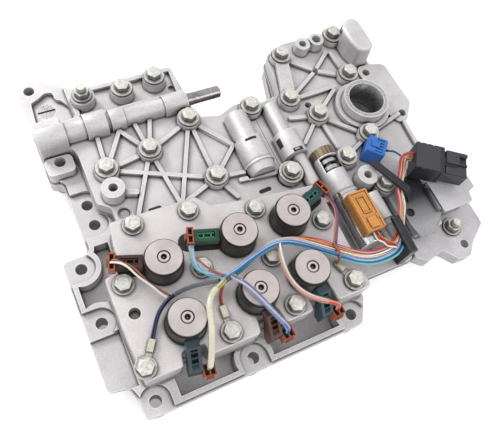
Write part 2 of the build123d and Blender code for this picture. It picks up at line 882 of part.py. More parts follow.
def coil_along_y(x, back, front, outside_d, wire, turns):
    """A coil spring between two faces, its wire round."""
    length = back - front - wire
    start = (x, back - wire / 2, bore_level)
    with BuildLine() as path:
        Helix(length / turns, length, (outside_d - wire) / 2, center=start, direction=(0, -1, 0))
    with BuildSketch(Plane(origin=path.line @ 0, z_dir=path.line % 0)) as section:
        Circle(wire / 2)
    sweep(section.sketch, path=path.line)


# First accumulator: end cap, stepped piston, spring and back plug
acc_a_bore_d = acc_a_large_d - 2 * acc_wall
acc_a_stem_bore_d = acc_a_small_d - 2 * acc_wall
with BuildPart() as accumulator_cap:
    along_y(acc_a_x, bore_level, acc_a_end_y + cap_spigot_l, acc_a_end_y, acc_a_bore_d - 2 * running)
    along_y(acc_a_x, bore_level, acc_a_end_y, acc_a_end_y - cap_rim_t, acc_a_large_d + 2 * cap_rim)
    with BuildSketch(bore_plane(acc_a_x, acc_a_end_y - cap_rim_t, bore_level)) as cap_base:
        Circle(acc_a_large_d / 2)
    extrude(cap_base.sketch, amount=acc_a_cap_l - cap_rim_t, taper=14.0)
finish(accumulator_cap, "accumulator_cap")

piston_back_y = acc_a_step_y - gap
piston_front_y = piston_back_y - piston_head_l
piston_cup_d = acc_a_bore_d - 2 * piston_wall
with BuildPart() as accumulator_piston:
    along_y(acc_a_x, bore_level, piston_back_y, piston_front_y, acc_a_bore_d - 2 * running)
    stem_back_y = piston_back_y + piston_stem_l
    along_y(acc_a_x, bore_level, stem_back_y, piston_back_y, acc_a_stem_bore_d - 2 * running)
    cup_floor_y = piston_back_y - piston_floor
    along_y(acc_a_x, bore_level, cup_floor_y, piston_front_y, piston_cup_d, Mode.SUBTRACT)
finish(accumulator_piston, "accumulator_piston")

with BuildPart() as accumulator_spring:
    cap_face_y = acc_a_end_y + cap_spigot_l
    coil_along_y(acc_a_x, cup_floor_y, cap_face_y, piston_cup_d - 1.0, spring_wire, spring_turns)
finish(accumulator_spring, "accumulator_spring")

with BuildPart() as bore_plug_set:
    for x, diameter in ((acc_a_x, acc_a_stem_bore_d), (acc_b_x, acc_b_bore_d)):
        along_y(x, bore_level, acc_back_y, acc_back_y - plug_l, diameter)
        along_y(x, bore_level, acc_back_y, acc_back_y - 2.0, diameter / 2, Mode.SUBTRACT)
finish(bore_plug_set, "bore_plugs")

# Relief valve in the second stepped cylinder
relief_front_y = acc_b_blind_y + gap
relief_back_y = relief_front_y + relief_l
with BuildPart() as relief_valve:
    along_y(acc_b_x, bore_level, relief_back_y, relief_front_y, acc_b_bore_d / 2)
    for back in (relief_back_y, relief_front_y + 8.0):
        along_y(acc_b_x, bore_level, back, back - 7.0, acc_b_bore_d - 2 * running)
finish(relief_valve, "relief_valve")

with BuildPart() as relief_spring:
    coil_along_y(acc_b_x, acc_back_y - plug_l, relief_back_y, acc_b_bore_d - 1.2, thin_wire, spring_turns)
finish(relief_spring, "relief_spring")

# Regulator: toothed adjuster, spring and spool in the open window
adjuster_back_y = reg_back_y + adjuster_l
spool_back_y = reg_back_y - 0.5 - spool_stroke
spool_front_y = reg_front_y + nose_l + gap
adjuster_hollow_d = 9.0
with BuildPart() as regulator_adjuster:
    with BuildSketch(bore_plane(reg_x, adjuster_back_y, bore_level)) as teeth:
        Circle(reg_d / 2 - 1.2)
        with PolarLocations(reg_d / 2 - 1.2, adjuster_teeth):
            Rectangle(1.6, 1.8)
    extrude(teeth.sketch, amount=adjuster_l)
    along_y(reg_x, bore_level, adjuster_back_y - 2.0, reg_back_y, adjuster_hollow_d, Mode.SUBTRACT)
finish(regulator_adjuster, "regulator_adjuster")

with BuildPart() as regulator_spring:
    coil_along_y(reg_x, adjuster_back_y - 2.0, spool_back_y, adjuster_hollow_d - 1.2, 1.2, 4.0)
finish(regulator_spring, "regulator_spring")

spool_land_d = reg_bore_d - 2 * running
with BuildPart() as regulator_spool:
    along_y(reg_x, bore_level, spool_back_y, spool_front_y, reg_bore_d / 2)
    for back in (spool_back_y, spool_back_y - 6.0, spool_back_y - 14.0):
        along_y(reg_x, bore_level, back, back - 3.0, spool_land_d)
    along_y(reg_x, bore_level, spool_front_y + 6.0, spool_front_y, spool_land_d)
finish(regulator_spool, "regulator_spool")

# Line pressure solenoid and the connector on its side
can_back_y = reg_front_y - collar_l
with BuildPart() as pressure_solenoid:
    along_y(reg_x, bore_level, reg_front_y + nose_l, reg_front_y, reg_bore_d - 2 * running)
    along_y(reg_x, bore_level, reg_front_y, can_back_y, collar_d)
    along_y(reg_x, bore_level, can_back_y, can_back_y - can_l, can_d)
    fillet(faces().sort_by(Axis.Y)[0].edges(), 1.2)
finish(pressure_solenoid, "pressure_solenoid")

pressure_connector_back = can_back_y - 4.0
with BuildPart() as pressure_connector:
    block(
        reg_x - pressure_connector_w / 2,
        reg_x + pressure_connector_w / 2,
        pressure_connector_back - pressure_connector_l,
        pressure_connector_back,
        bore_level + can_d / 4,
        pressure_connector_top,
        1.0,
    )
    chamfer(faces().sort_by(Axis.Z)[-1].edges(), 1.0)
    along_y(reg_x, bore_level, can_back_y, can_back_y - can_l, can_d, Mode.SUBTRACT)
finish(pressure_connector, "pressure_connector")

with BuildPart() as pressure_switch:
    along_y(small_bore_x, bore_level, small_bore_front_y, small_bore_front_y - 5.0, 9.0)
    along_y(small_bore_x, bore_level, small_bore_front_y - 5.0, small_bore_front_y - 17.0, 7.4)
finish(pressure_switch, "pressure_switch")


def arm_plane(centre, angle):
    """A plane standing along an arm, its first axis pointing away from the can."""
    out = (cos(radians(angle)), sin(radians(angle)), 0)
    side = (sin(radians(angle)), -cos(radians(angle)), 0)
    return Plane(origin=(centre[0], centre[1], 0), x_dir=out, z_dir=side)


# Shift solenoids, each a can with its disc, a moulded arm and a harness plug
can_base = plate_top - seat_depth
can_top = plate_top + solenoid_h
disc_top = can_top + cap_t
arm_top = can_top - 4.0
arm_start = solenoid_d / 2
level_arm = [
    (arm_start, arm_top - arm_t),
    (arm_start, arm_top),
    (arm_reach, arm_top),
    (arm_reach, arm_top - arm_t),
]
dropped_arm = [
    (arm_start, arm_top - arm_t),
    (arm_start, arm_top),
    (arm_start + 5.0, arm_top),
    (arm_reach, arm_top - arm_drop),
    (arm_reach, arm_top - arm_drop - 2 * arm_t),
    (arm_reach - 5.5, arm_top - arm_drop - 2 * arm_t),
    (arm_start + 4.0, arm_top - arm_t - 3.0),
]
slope_start = (arm_start + 6.3, arm_top - 1.6)
slope_end = (arm_start + 16.5, arm_top - 14.4)
dropped_channel = [
    (slope_start[0] - arm_channel_depth, slope_start[1]),
    (slope_start[0] + 2.0, slope_start[1]),
    (slope_end[0] + 2.0, slope_end[1]),
    (slope_end[0] - arm_channel_depth, slope_end[1]),
]
level_channel = [
    (arm_start + 3.0, arm_top - arm_channel_depth),
    (arm_start + 3.0, arm_top),
    (arm_reach - 2.5, arm_top),
    (arm_reach - 2.5, arm_top - arm_channel_depth),
]
arm_angles = [161.0, 163.0, 20.0, 261.0, 274.0, 276.0]
plug_parts = []
for number, (centre, angle) in enumerate(zip(solenoid_places, arm_angles), start=1):
    dropped = centre[1] == near_solenoid_y
    with BuildPart() as solenoid:
        upright([centre], can_base - stem_seat_l, can_base, stem_seat_d)
        upright([centre], can_base, can_base + solenoid_base_t, solenoid_base_d)
        upright([centre], can_base + solenoid_base_t, can_top, solenoid_d)
        upright([centre], can_top, disc_top, cap_d)
        upright([centre], disc_top - 0.6, disc_top, cap_ring_d, Mode.SUBTRACT)
        upright([centre], disc_top - 0.6, disc_top, cap_ring_d - 1.6)
        upright([centre], disc_top - 1.6, disc_top, cap_hole_d, Mode.SUBTRACT)
    finish(solenoid, "solenoid_" + str(number))
    with BuildPart() as solenoid_arm:
        with BuildSketch(arm_plane(centre, angle)) as side_view:
            Polygon(*(dropped_arm if dropped else level_arm), align=None)
        extrude(side_view.sketch, amount=arm_w / 2, both=True)
        with BuildSketch(arm_plane(centre, angle)) as channel:
            Polygon(*(dropped_channel if dropped else level_channel), align=None)
        extrude(channel.sketch, amount=arm_w / 2 - arm_rail_w, both=True, mode=Mode.SUBTRACT)
        upright([centre], can_base, can_top, solenoid_d, Mode.SUBTRACT)
        if dropped:
            with BuildSketch(arm_plane(centre, angle)) as base_clearance:
                with Locations((0.0, plate_top / 2)):
                    Rectangle(2 * (solenoid_base_d / 2 + 1.0), plate_top + 1.0)
            extrude(base_clearance.sketch, amount=arm_w, both=True, mode=Mode.SUBTRACT)
    finish(solenoid_arm, "solenoid_arm_" + str(number))
    with BuildPart() as solenoid_plug:
        with BuildSketch(arm_plane(centre, angle)) as plug_view:
            if dropped:
                with Locations((arm_reach, arm_top - arm_drop - arm_t)):
                    Rectangle(plug_w, plug_w + 3.0)
            else:
                with Locations((arm_reach + plug_w / 2 - 2.0, arm_top - plug_w / 2 + 1.5)):
                    Rectangle(plug_w - 4.0, plug_w)
        if dropped:
            extrude(plug_view.sketch, amount=-arm_w / 2 - plug_w)
            with BuildSketch(arm_plane(centre, angle)) as arm_room:
                with Locations((arm_reach, arm_top - arm_drop - arm_t)):
                    Rectangle(4 * plug_w, 4 * plug_w)
            extrude(arm_room.sketch, amount=arm_w / 2, both=True, mode=Mode.SUBTRACT)
        else:
            extrude(plug_view.sketch, amount=arm_w / 2 + 1.5, both=True)
    finish(solenoid_plug, "solenoid_plug_" + str(number))
    plug_parts.append(solenoid_plug)


def flange_bolt(place, seat, flange_d):
    """A hex bolt with a round flange, its shank down to the thread's end."""
    upright([place], seal_face - bolt_reach + 1.0, seat, bolt_d)
    upright([place], seat, seat + bolt_flange_t, flange_d)
    with BuildSketch(Plane.XY.offset(seat + bolt_flange_t)) as hexagon:
        with Locations(place):
            RegularPolygon(hex_af / 2, 6, major_radius=False, rotation=place[0] % 60)
    extrude(hexagon.sketch, amount=hex_h)
    head_top = seat + bolt_flange_t + hex_h
    upright([place], head_top - 0.5, head_top, hex_af - 3.0, Mode.SUBTRACT)


# Fasteners
with BuildPart() as plate_bolt_set:
    for place in plate_bolts:
        seat = plate_top + terminal_t if place in ground_places else plate_top
        flange_bolt(place, seat, plate_bolt_flange_d)
finish(plate_bolt_set, "plate_bolts")

with BuildPart() as casting_bolt_set:
    for place in upper_bolts + intake_bolts:
        flange_bolt(place, boss_top, casting_bolt_flange_d)
    for place in back_bolts:
        flange_bolt(place, strip_boss_top, casting_bolt_flange_d)
    flange_bolt(bolt_washer, boss_top + washer_t, plate_bolt_flange_d)
finish(casting_bolt_set, "casting_bolts")

with BuildPart() as large_washer:
    upright([bolt_washer], boss_top, boss_top + washer_t, washer_d)
    upright([bolt_washer], boss_top, boss_top + washer_t, bolt_hole_d, Mode.SUBTRACT)
finish(large_washer, "large_washer")

stud_seats = {stud_back: (seal_face, strip_boss_top), stud_corner: (flange_top, flange_top + corner_t)}
with BuildPart() as stud_bolt_set:
    for place, (thread_face, seat) in stud_seats.items():
        upright([place], thread_face - bolt_reach + 1.0, seat, bolt_d)
        upright([place], seat, seat + bolt_flange_t, plate_bolt_flange_d)
        with BuildSketch(Plane.XY.offset(seat + bolt_flange_t)) as hexagon:
            with Locations(place):
                RegularPolygon(hex_af / 2, 6, major_radius=False)
        extrude(hexagon.sketch, amount=hex_h)
        upright([place], seat + bolt_flange_t + hex_h, seat + stud_rise, stud_d)
finish(stud_bolt_set, "stud_bolts")

with BuildPart() as slotted_plug:
    upright([slot_plug], slot_floor - slot_plug_t, slot_floor, slot_plug_d)
    block(
        slot_plug[0] - slot_plug_d / 2,
        slot_plug[0] + slot_plug_d / 2,
        slot_plug[1] - 0.8,
        slot_plug[1] + 0.8,
        slot_floor - 1.2,
        slot_floor,
        mode=Mode.SUBTRACT,
    )
finish(slotted_plug, "slotted_plug")

with BuildPart() as cup_plug:
    upright([cup_plug_low], web_top - cup_plug_t, web_top, cup_plug_d)
    upright([cup_plug_low], web_top - cup_plug_t + 1.0, web_top, cup_plug_d - 2.4, Mode.SUBTRACT)
finish(cup_plug, "cup_plug")

with BuildPart() as terminal_set:
    for place, angle in ground_places.items():
        barrel_start = turned(place, angle, terminal_reach, 0.0)
        barrel_middle = turned(place, angle, terminal_reach + barrel_l / 2, 0.0)
        tongue_middle = turned(place, angle, (terminal_reach + barrel_l) / 2, 0.0)
        upright([place], plate_top, plate_top + terminal_t, terminal_d)
        turned_block(tongue_middle, angle, terminal_reach + barrel_l, 4.0, plate_top, plate_top + terminal_t)
        turned_block(barrel_middle, angle, barrel_l, barrel_d, plate_top, plate_top + barrel_d, 0.0)
        upright([place], plate_top, plate_top + terminal_t, bolt_hole_d, Mode.SUBTRACT)
finish(terminal_set, "ring_terminals")

# Bracket on the corner casting
bracket_points = [
    (118.0, -55.0),
    (118.5, -90.8),
    (105.2, -101.8),
    (92.0, -102.0),
    (89.6, -89.1),
    (89.8, -76.2),
    (96.4, -70.0),
    (102.2, -50.9),
]
bracket_top = bracket_z + bracket_t
bracket_arm_foot = (101.0, -72.0)
bracket_arm_angle = 115.0
bracket_arm_profile = [
    (0.0, bracket_z),
    (0.0, bracket_top),
    (bracket_arm_rise, bracket_arm_z + bracket_t),
    (bracket_arm_l, bracket_arm_z + bracket_t),
    (bracket_arm_l, bracket_arm_z),
    (bracket_arm_rise + 1.5, bracket_arm_z),
    (1.8, bracket_z),
]
with BuildPart() as bracket:
    with BuildSketch(Plane.XY.offset(bracket_z)):
        outline(bracket_points, 2.0)
        with Locations(bracket_hole):
            Circle(pad_hole_d / 2, mode=Mode.SUBTRACT)
    extrude(amount=bracket_t)
    block(118.0 - bracket_t, 118.0, -88.0, -68.0, bracket_z, bracket_z + 6.0)
    with BuildSketch(arm_plane(bracket_arm_foot, bracket_arm_angle)) as arm_view:
        Polygon(*bracket_arm_profile, align=None)
    extrude(arm_view.sketch, amount=bracket_arm_w / 2, both=True)
finish(bracket, "bracket")

# Black guide bar that stands on the near edge and reaches over the harness
guide_near = (74.6, -111.5)
guide_far = (75.6, -81.5)
guide_l = hypot(guide_far[0] - guide_near[0], guide_far[1] - guide_near[1])
guide_angle = degrees(atan2(guide_far[1] - guide_near[1], guide_far[0] - guide_near[0]))
guide_profile = [
    (0.0, front_floor),
    (0.0, guide_top),
    (guide_l, guide_top),
    (guide_l, guide_top - guide_beam_t),
    (guide_foot_l, guide_top - guide_beam_t),
    (guide_foot_l, front_floor),
]
with BuildPart() as guide_bar:
    with BuildSketch(arm_plane(guide_near, guide_angle)) as guide_view:
        Polygon(*guide_profile, align=None)
    extrude(guide_view.sketch, amount=guide_w / 2, both=True)
    chamfer(faces().sort_by(Axis.Z)[-1].edges(), 1.0)
finish(guide_bar, "guide_bar")

# Main connector: body, open shroud, latch and the foot that clips on the bracket
connector_back = turned(connector_centre, connector_turn, -connector_body_l / 2, 0.0)
shroud_middle = turned(connector_centre, connector_turn, (connector_body_l + shroud_l) / 2, 0.0)
socket_depth = 12.0
socket_middle = turned(
    connector_centre, connector_turn, connector_body_l / 2 + shroud_l - socket_depth / 2, 0.0
)
foot_centre = turned(connector_centre, connector_turn, -connector_body_l / 2 + 5.0, -6.0)
shroud_w = connector_body_w - 3.0
shroud_bottom = connector_bottom + 1.5
shroud_top = connector_top - 2.5
with BuildPart() as main_connector:
    turned_block(
        connector_centre,
        connector_turn,
        connector_body_l,
        connector_body_w,
        connector_bottom,
        connector_top,
        1.0,
    )
    turned_block(shroud_middle, connector_turn, shroud_l, shroud_w, shroud_bottom, shroud_top)
    turned_block(
        socket_middle,
        connector_turn,
        socket_depth,
        shroud_w - 2 * shroud_wall,
        shroud_bottom + shroud_wall,
        shroud_top - shroud_wall,
        mode=Mode.SUBTRACT,
    )
    latch_middle = turned(connector_centre, connector_turn, 8.0, 0.0)
    turned_block(latch_middle, connector_turn, 28.0, 7.0, connector_top - 2.5, connector_top - 1.0)
    for step in (-7.0, -2.0, 3.0):
        groove = turned(connector_centre, connector_turn, step, 0.0)
        turned_block(
            groove,
            connector_turn,
            1.6,
            connector_body_w,
            connector_top - 1.0,
            connector_top,
            mode=Mode.SUBTRACT,
        )
    turned_block(foot_centre, connector_turn, 8.0, 8.0, bracket_top, connector_bottom)
finish(main_connector, "main_connector")

with BuildPart() as sensor_connector:
    turned_block(sensor_centre, sensor_turn, sensor_l, sensor_w, web_top, sensor_top, 1.0)
    for count in range(sensor_rib_n):
        step = (count - (sensor_rib_n - 1) / 2) * 2.8
        groove = turned(sensor_centre, sensor_turn, 0.0, step)
        turned_block(
            groove,
            sensor_turn,
            sensor_l - 5.0,
            1.0,
            sensor_top - 1.2,
            sensor_top,
            mode=Mode.SUBTRACT,
        )
finish(sensor_connector, "sensor_connector")


def cord(name, points, diameter, met):
    """A cord along straight runs joined by arcs as large as the runs allow, cut at the pieces it meets."""
    radii = []
    for before, here, after in zip(points, points[1:], points[2:]):
        arriving = Vector(*here) - Vector(*before)
        leaving = Vector(*after) - Vector(*here)
        half_turn = radians(arriving.get_angle(leaving)) / 2
        radii.append(0.45 * min(arriving.length, leaving.length) / tan(half_turn))
    with BuildPart() as tube:
        with BuildLine() as path:
            FilletPolyline(*points, radius=radii)
        with BuildSketch(Plane(origin=path.line @ 0, z_dir=path.line % 0)) as section:
            Circle(diameter / 2)
        sweep(section.sketch, path=path.line)
        length = sum(edge.length for edge in path.edges())
        whole = tube.part.volume / (section.sketch.area * length)
        for piece in met:
            add(piece.part, mode=Mode.SUBTRACT)
    finish(tube, name)
    print(name, "length", round(length, 1), "volume ratio", round(whole, 3))
    print("radii", [round(radius, 1) for radius in radii])
    return tube


# Harness, as it lies over the solenoid plate and past the line pressure solenoid
trunk_points = [
    (-66.0, -80.5, 59.0),
    (-55.5, -78.6, 60.0),
    (-42.0, -73.8, 61.0),
    (-24.0, -69.3, 61.5),
    (-11.6, -69.6, 61.5),
    (1.0, -76.5, 61.3),
    (13.4, -86.2, 61.0),
    (22.7, -93.6, 60.4),
    (32.0, -100.0, 58.5),
    (42.6, -103.8, 56.5),
    (52.5, -104.6, 56.0),
    (60.5, -104.0, 55.6),
    (67.5, -101.0, 53.8),
    (73.5, -96.8, 51.6),
    (78.6, -90.2, 51.1),
    (84.0, -81.4, 51.1),
    (89.4, -74.6, 51.4),
    (92.4, -67.1, 51.4),
    (95.4, -59.9, 51.4),
    (99.5, -53.5, 52.8),
    (102.8, -47.5, 56.5),
    (104.4, -42.6, 60.4),
    (108.4, -42.0, 62.0),
    (113.2, -45.4, 62.0),
]
trunk = cord("harness_trunk", trunk_points, trunk_d, [main_connector])
ground_left_points = [
    (-65.0, -80.3, 59.1),
    (-76.0, -77.3, 58.2),
    (-89.0, -75.4, 57.2),
    (-101.0, -76.8, 56.2),
    (-110.3, -82.5, 54.8),
    (-116.0, -90.6, 53.0),
    (-121.0, -98.5, 52.2),
]
ground_left = cord("ground_lead_left", ground_left_points, lead_d, [trunk, terminal_set])
ground_centre_points = [
    (-70.6, -95.4, 52.2),
    (-70.3, -90.6, 52.9),
    (-68.6, -86.4, 55.6),
    (-64.5, -81.2, 58.6),
]
cord("ground_lead_centre", ground_centre_points, ground_d, [trunk, ground_left, terminal_set])
ground_right_points = [
    (17.3, -96.6, 52.2),
    (16.4, -93.3, 52.9),
    (16.0, -90.6, 55.5),
    (16.6, -89.4, 59.0),
]
cord("ground_lead_right", ground_right_points, ground_d, [trunk, terminal_set])
lead_points = [
    [
        (-127.6, -42.7, 62.5),
        (-127.0, -43.6, 66.6),
        (-123.4, -46.8, 68.6),
        (-118.6, -51.4, 66.4),
        (-114.3, -57.4, 62.4),
        (-110.0, -64.6, 58.8),
        (-105.4, -71.6, 57.2),
        (-101.2, -76.6, 56.2),
    ],
    [
        (-74.9, -48.7, 59.0),
        (-76.6, -54.2, 59.8),
        (-77.8, -60.4, 60.6),
        (-77.0, -66.8, 60.6),
        (-72.8, -72.2, 60.0),
        (-66.6, -75.6, 59.6),
        (-60.6, -79.4, 59.6),
    ],
    [
        (33.2, -46.9, 59.0),
        (34.9, -52.4, 59.6),
        (35.0, -60.4, 60.8),
        (31.4, -69.0, 61.6),
        (25.6, -77.6, 61.8),
        (20.4, -85.4, 61.6),
        (17.6, -90.6, 60.8),
    ],
    [
        (-92.9, -127.6, 43.8),
        (-92.9, -127.4, 49.0),
        (-91.8, -124.6, 56.6),
        (-89.0, -117.4, 65.0),
        (-84.8, -105.6, 71.0),
        (-82.2, -94.4, 71.4),
        (-76.6, -87.6, 69.6),
        (-70.4, -84.8, 66.6),
        (-62.8, -80.6, 60.6),
    ],
    [
        (-34.7, -126.2, 43.8),
        (-34.8, -125.6, 49.0),
        (-36.8, -123.4, 55.4),
        (-41.2, -118.4, 62.6),
        (-46.0, -111.6, 69.2),
        (-50.4, -101.4, 72.6),
        (-55.4, -90.0, 73.2),
        (-58.4, -84.0, 68.0),
        (-57.8, -79.4, 60.6),
    ],
    [
        (5.5, -125.8, 43.8),
        (5.4, -125.4, 49.0),
        (3.2, -123.8, 55.6),
        (-3.4, -120.9, 60.8),
        (-11.6, -116.4, 62.4),
        (-18.4, -108.8, 61.4),
        (-22.2, -98.8, 61.0),
        (-22.4, -87.8, 61.2),
        (-20.4, -77.4, 62.0),
        (-17.4, -69.8, 61.6),
    ],
]
lead_ends = [[ground_left], [trunk], [trunk], [trunk], [trunk], [trunk]]
for number, (points, ends) in enumerate(zip(lead_points, lead_ends), start=1):
    diameter = branch_d if number > 3 else lead_d
    cord("solenoid_lead_" + str(number), points, diameter, [plug_parts[number - 1]] + ends)
pressure_lead_points = [
    (reg_x, -86.0, 57.0),
    (54.7, -91.4, 57.2),
    (56.6, -96.6, 58.2),
    (60.2, -100.4, 58.4),
    (64.4, -102.2, 57.0),
]
cord("pressure_lead", pressure_lead_points, lead_d, [pressure_connector, trunk])
sensor_lead_points = [
    (100.0, -27.0, 52.0),
    (103.6, -29.5, 54.6),
    (105.2, -34.0, 58.6),
    (105.6, -40.6, 61.4),
]
cord("sensor_lead", sensor_lead_points, ground_d, [sensor_connector, trunk])
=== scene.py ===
import itertools
import math

import bmesh
import bpy
from mathutils import Matrix, Vector


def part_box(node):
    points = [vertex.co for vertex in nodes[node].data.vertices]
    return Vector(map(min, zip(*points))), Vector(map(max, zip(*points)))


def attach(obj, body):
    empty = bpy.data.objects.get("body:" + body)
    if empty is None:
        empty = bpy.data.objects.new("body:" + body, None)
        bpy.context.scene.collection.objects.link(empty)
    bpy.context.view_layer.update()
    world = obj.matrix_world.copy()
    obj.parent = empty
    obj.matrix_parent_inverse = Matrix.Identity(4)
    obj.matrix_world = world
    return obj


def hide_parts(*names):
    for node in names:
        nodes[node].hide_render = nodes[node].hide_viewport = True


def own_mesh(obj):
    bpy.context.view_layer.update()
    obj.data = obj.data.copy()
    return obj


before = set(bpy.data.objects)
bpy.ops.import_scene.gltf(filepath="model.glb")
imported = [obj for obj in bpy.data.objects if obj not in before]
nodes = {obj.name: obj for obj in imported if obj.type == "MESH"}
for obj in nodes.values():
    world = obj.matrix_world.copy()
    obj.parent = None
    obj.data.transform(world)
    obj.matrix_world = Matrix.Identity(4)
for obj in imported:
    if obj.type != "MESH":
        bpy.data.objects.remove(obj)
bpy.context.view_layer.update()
MM = 0.001
BODY = "valve_body"

# Levels and places taken from the frame
PLATE_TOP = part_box("solenoid_plate")[1].z
DISC_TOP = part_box("solenoid_1")[1].z
SOLENOIDS = ["solenoid_%d" % number for number in range(1, 7)]


def middle(node):
    """Centre of a node's box."""
    low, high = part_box(node)
    return (low + high) / 2


# Materials

# Sockets of the colour mix node
MIX_FACTOR, MIX_FIRST, MIX_SECOND, MIX_COLOUR = 0, 6, 7, 2

# Colours of the painted shade in corners and on walls, and of the lighter edges, which are rubbed wear and
# painted highlight
CORNER_SHADE_COLOUR = (0.09, 0.085, 0.085)
WALL_SHADE_COLOUR = (0.16, 0.15, 0.155)
RUBBED_AND_HIGHLIT_METAL = (0.90, 0.89, 0.88)
EDGE_REACH = 0.0009
SHARP_ANGLE = math.radians(40)


class Graph:
    """Short calls for building one material's nodes."""

    def __init__(self, name):
        self.material = bpy.data.materials.new(name)
        self.material.use_nodes = True
        self.tree = self.material.node_tree
        self.tree.nodes.clear()
        self.out = self.add("ShaderNodeOutputMaterial")
        self.shader = self.add("ShaderNodeBsdfPrincipled")
        self.link(self.shader, 0, self.out, 0)
        self.place = self.add("ShaderNodeTexCoord")

    def add(self, kind, operation=None):
        node = self.tree.nodes.new(kind)
        if operation:
            node.operation = operation
        return node

    def link(self, source, output, target, socket):
        self.tree.links.new(source.outputs[output], target.inputs[socket])

    def feed(self, pair, target, socket):
        """Links a (node, output) pair to a socket."""
        self.link(pair[0], pair[1], target, socket)

    def noise(self, scale, detail=3.0, roughness=0.6):
        node = self.add("ShaderNodeTexNoise")
        node.inputs["Scale"].default_value = scale
        node.inputs["Detail"].default_value = detail
        node.inputs["Roughness"].default_value = roughness
        self.link(self.place, "Object", node, "Vector")
        return node

    def ramp(self, source, output, stops):
        node = self.add("ShaderNodeValToRGB")
        while len(node.color_ramp.elements) < len(stops):
            node.color_ramp.elements.new(0.5)
        for element, (position, colour) in zip(node.color_ramp.elements, stops):
            element.position = position
            element.color = (*colour, 1.0)
        self.link(source, output, node, "Fac")
        return node

    def span(self, source, output, low, high, to_low, to_high):
        node = self.add("ShaderNodeMapRange")
        node.inputs["From Min"].default_value = low
        node.inputs["From Max"].default_value = high
        node.inputs["To Min"].default_value = to_low
        node.inputs["To Max"].default_value = to_high
        self.link(source, output, node, "Value")
        return node

    def mix(self, kind, factor, first, second):
        """Mixes two colours, given like the factor as values or (node, output) pairs, into such a pair."""
        node = self.add("ShaderNodeMix")
        node.data_type = "RGBA"
        node.blend_type = kind
        for socket, value in ((MIX_FACTOR, factor), (MIX_FIRST, first), (MIX_SECOND, second)):
            if isinstance(value, tuple) and isinstance(value[0], bpy.types.Node):
                self.feed(value, node, socket)
            elif socket == MIX_FACTOR:
                node.inputs[socket].default_value = value
            else:
                node.inputs[socket].default_value = (*value, 1.0)
        return (node, MIX_COLOUR)

    def bump(self, source, output, strength, distance):
        node = self.add("ShaderNodeBump")
        node.inputs["Strength"].default_value = strength
        node.inputs["Distance"].default_value = distance
        self.link(source, output, node, "Height")
        self.link(node, 0, self.shader, "Normal")


def tinted(colour, factor):
    """A lighter or darker shade of a colour."""
    return tuple(min(1.0, channel * factor) for channel in colour)


def painted_corner_shade(graph, last, corner_shade, reach):
    """Painted shade where faces meet, deep in the narrow places and faint further out."""
    deep = (reach * 0.4, 0.52, 0.95, corner_shade)
    faint = (reach, 0.2, 0.75, corner_shade * 0.22)
    for distance, low, high, share in (deep, faint):
        corner = graph.add("ShaderNodeAmbientOcclusion")
        corner.samples = 5
        corner.inputs["Distance"].default_value = distance
        held = graph.span(corner, "AO", low, high, share, 0.0)
        last = graph.mix("MULTIPLY", (held, 0), last, CORNER_SHADE_COLOUR)
    return last


def rubbed_and_highlit_edges(graph, last, edge_rub_and_highlight):
    """Lighter metal along the outer edges: rubbed wear and painted highlight."""
    inside = graph.add("ShaderNodeAmbientOcclusion")
    inside.samples = 4
    inside.inside = True
    inside.inputs["Distance"].default_value = EDGE_REACH
    edge = graph.span(inside, "AO", 0.45, 0.85, edge_rub_and_highlight, 0.0)
    return graph.mix("MIX", (edge, 0), last, RUBBED_AND_HIGHLIT_METAL)


def painted_wall_shade(graph, last, shade):
    """Painted shade on the walls, which keeps them darker than the faces that look up."""
    facing = graph.add("ShaderNodeNewGeometry")
    apart = graph.add("ShaderNodeSeparateXYZ")
    graph.link(facing, "Normal", apart, 0)
    wall = graph.span(apart, 2, 0.1, 0.85, shade, 0.0)
    return graph.mix("MULTIPLY", (wall, 0), last, WALL_SHADE_COLOUR)


def painted_shadow_gradient(graph, last, axis, start, end, colour):
    """Painted shadow: a slow change to a second colour along one axis of the part."""
    apart = graph.add("ShaderNodeSeparateXYZ")
    graph.link(graph.place, "Object", apart, 0)
    share = graph.span(apart, axis, start, end, 0.0, 1.0)
    return graph.mix("MIX", (share, 0), last, colour)


def surface(
    name, colour, metallic, roughness, vary=0.12, blotch=60.0, grain=1800.0, bump=0.3,
    depth=0.00012, corner_shade=0.0, reach=0.006, edge_rub_and_highlight=0.0, wall_shade=0.0, shadow_gradient=None,
):
    """A solid surface: broad colour change, fine grain and, where asked, painted shade in corners and on
    walls, lighter edges of rubbed wear and painted highlight, and a painted shadow gradient.
    """
    graph = Graph(name)
    shader = graph.shader
    shader.inputs["Metallic"].default_value = metallic
    broad = graph.noise(blotch, 4.0)
    tones = [(0.25, tinted(colour, 1 - vary)), (0.5, colour), (0.78, tinted(colour, 1 + vary))]
    shade = graph.ramp(broad, 0, tones)
    fine = graph.noise(grain, 2.0, 0.7)
    speck = graph.span(fine, 0, 0.28, 0.72, 0.78, 1.14)
    speckled = graph.add("ShaderNodeVectorMath", "SCALE")
    graph.link(shade, 0, speckled, 0)
    graph.link(speck, 0, speckled, "Scale")
    last = (speckled, 0)
    if shadow_gradient:
        last = painted_shadow_gradient(graph, last, *shadow_gradient)
    if wall_shade:
        last = painted_wall_shade(graph, last, wall_shade)
    if edge_rub_and_highlight:
        last = rubbed_and_highlit_edges(graph, last, edge_rub_and_highlight)
    if corner_shade:
        last = painted_corner_shade(graph, last, corner_shade, reach)
    graph.feed(last, shader, "Base Color")
    rough = graph.span(fine, 0, 0.3, 0.7, roughness - 0.07, roughness + 0.07)
    graph.link(rough, 0, shader, "Roughness")
    graph.bump(fine, 0, bump, depth)
    return graph


def round_edges(piece, width):
    """Rounds a piece's sharp edges; the width is in millimetres."""
    rounded = piece.modifiers.new("rounded", "BEVEL")
    rounded.width = width * MM
    rounded.segments = 2
    rounded.limit_method = "ANGLE"
    rounded.angle_limit = SHARP_ANGLE


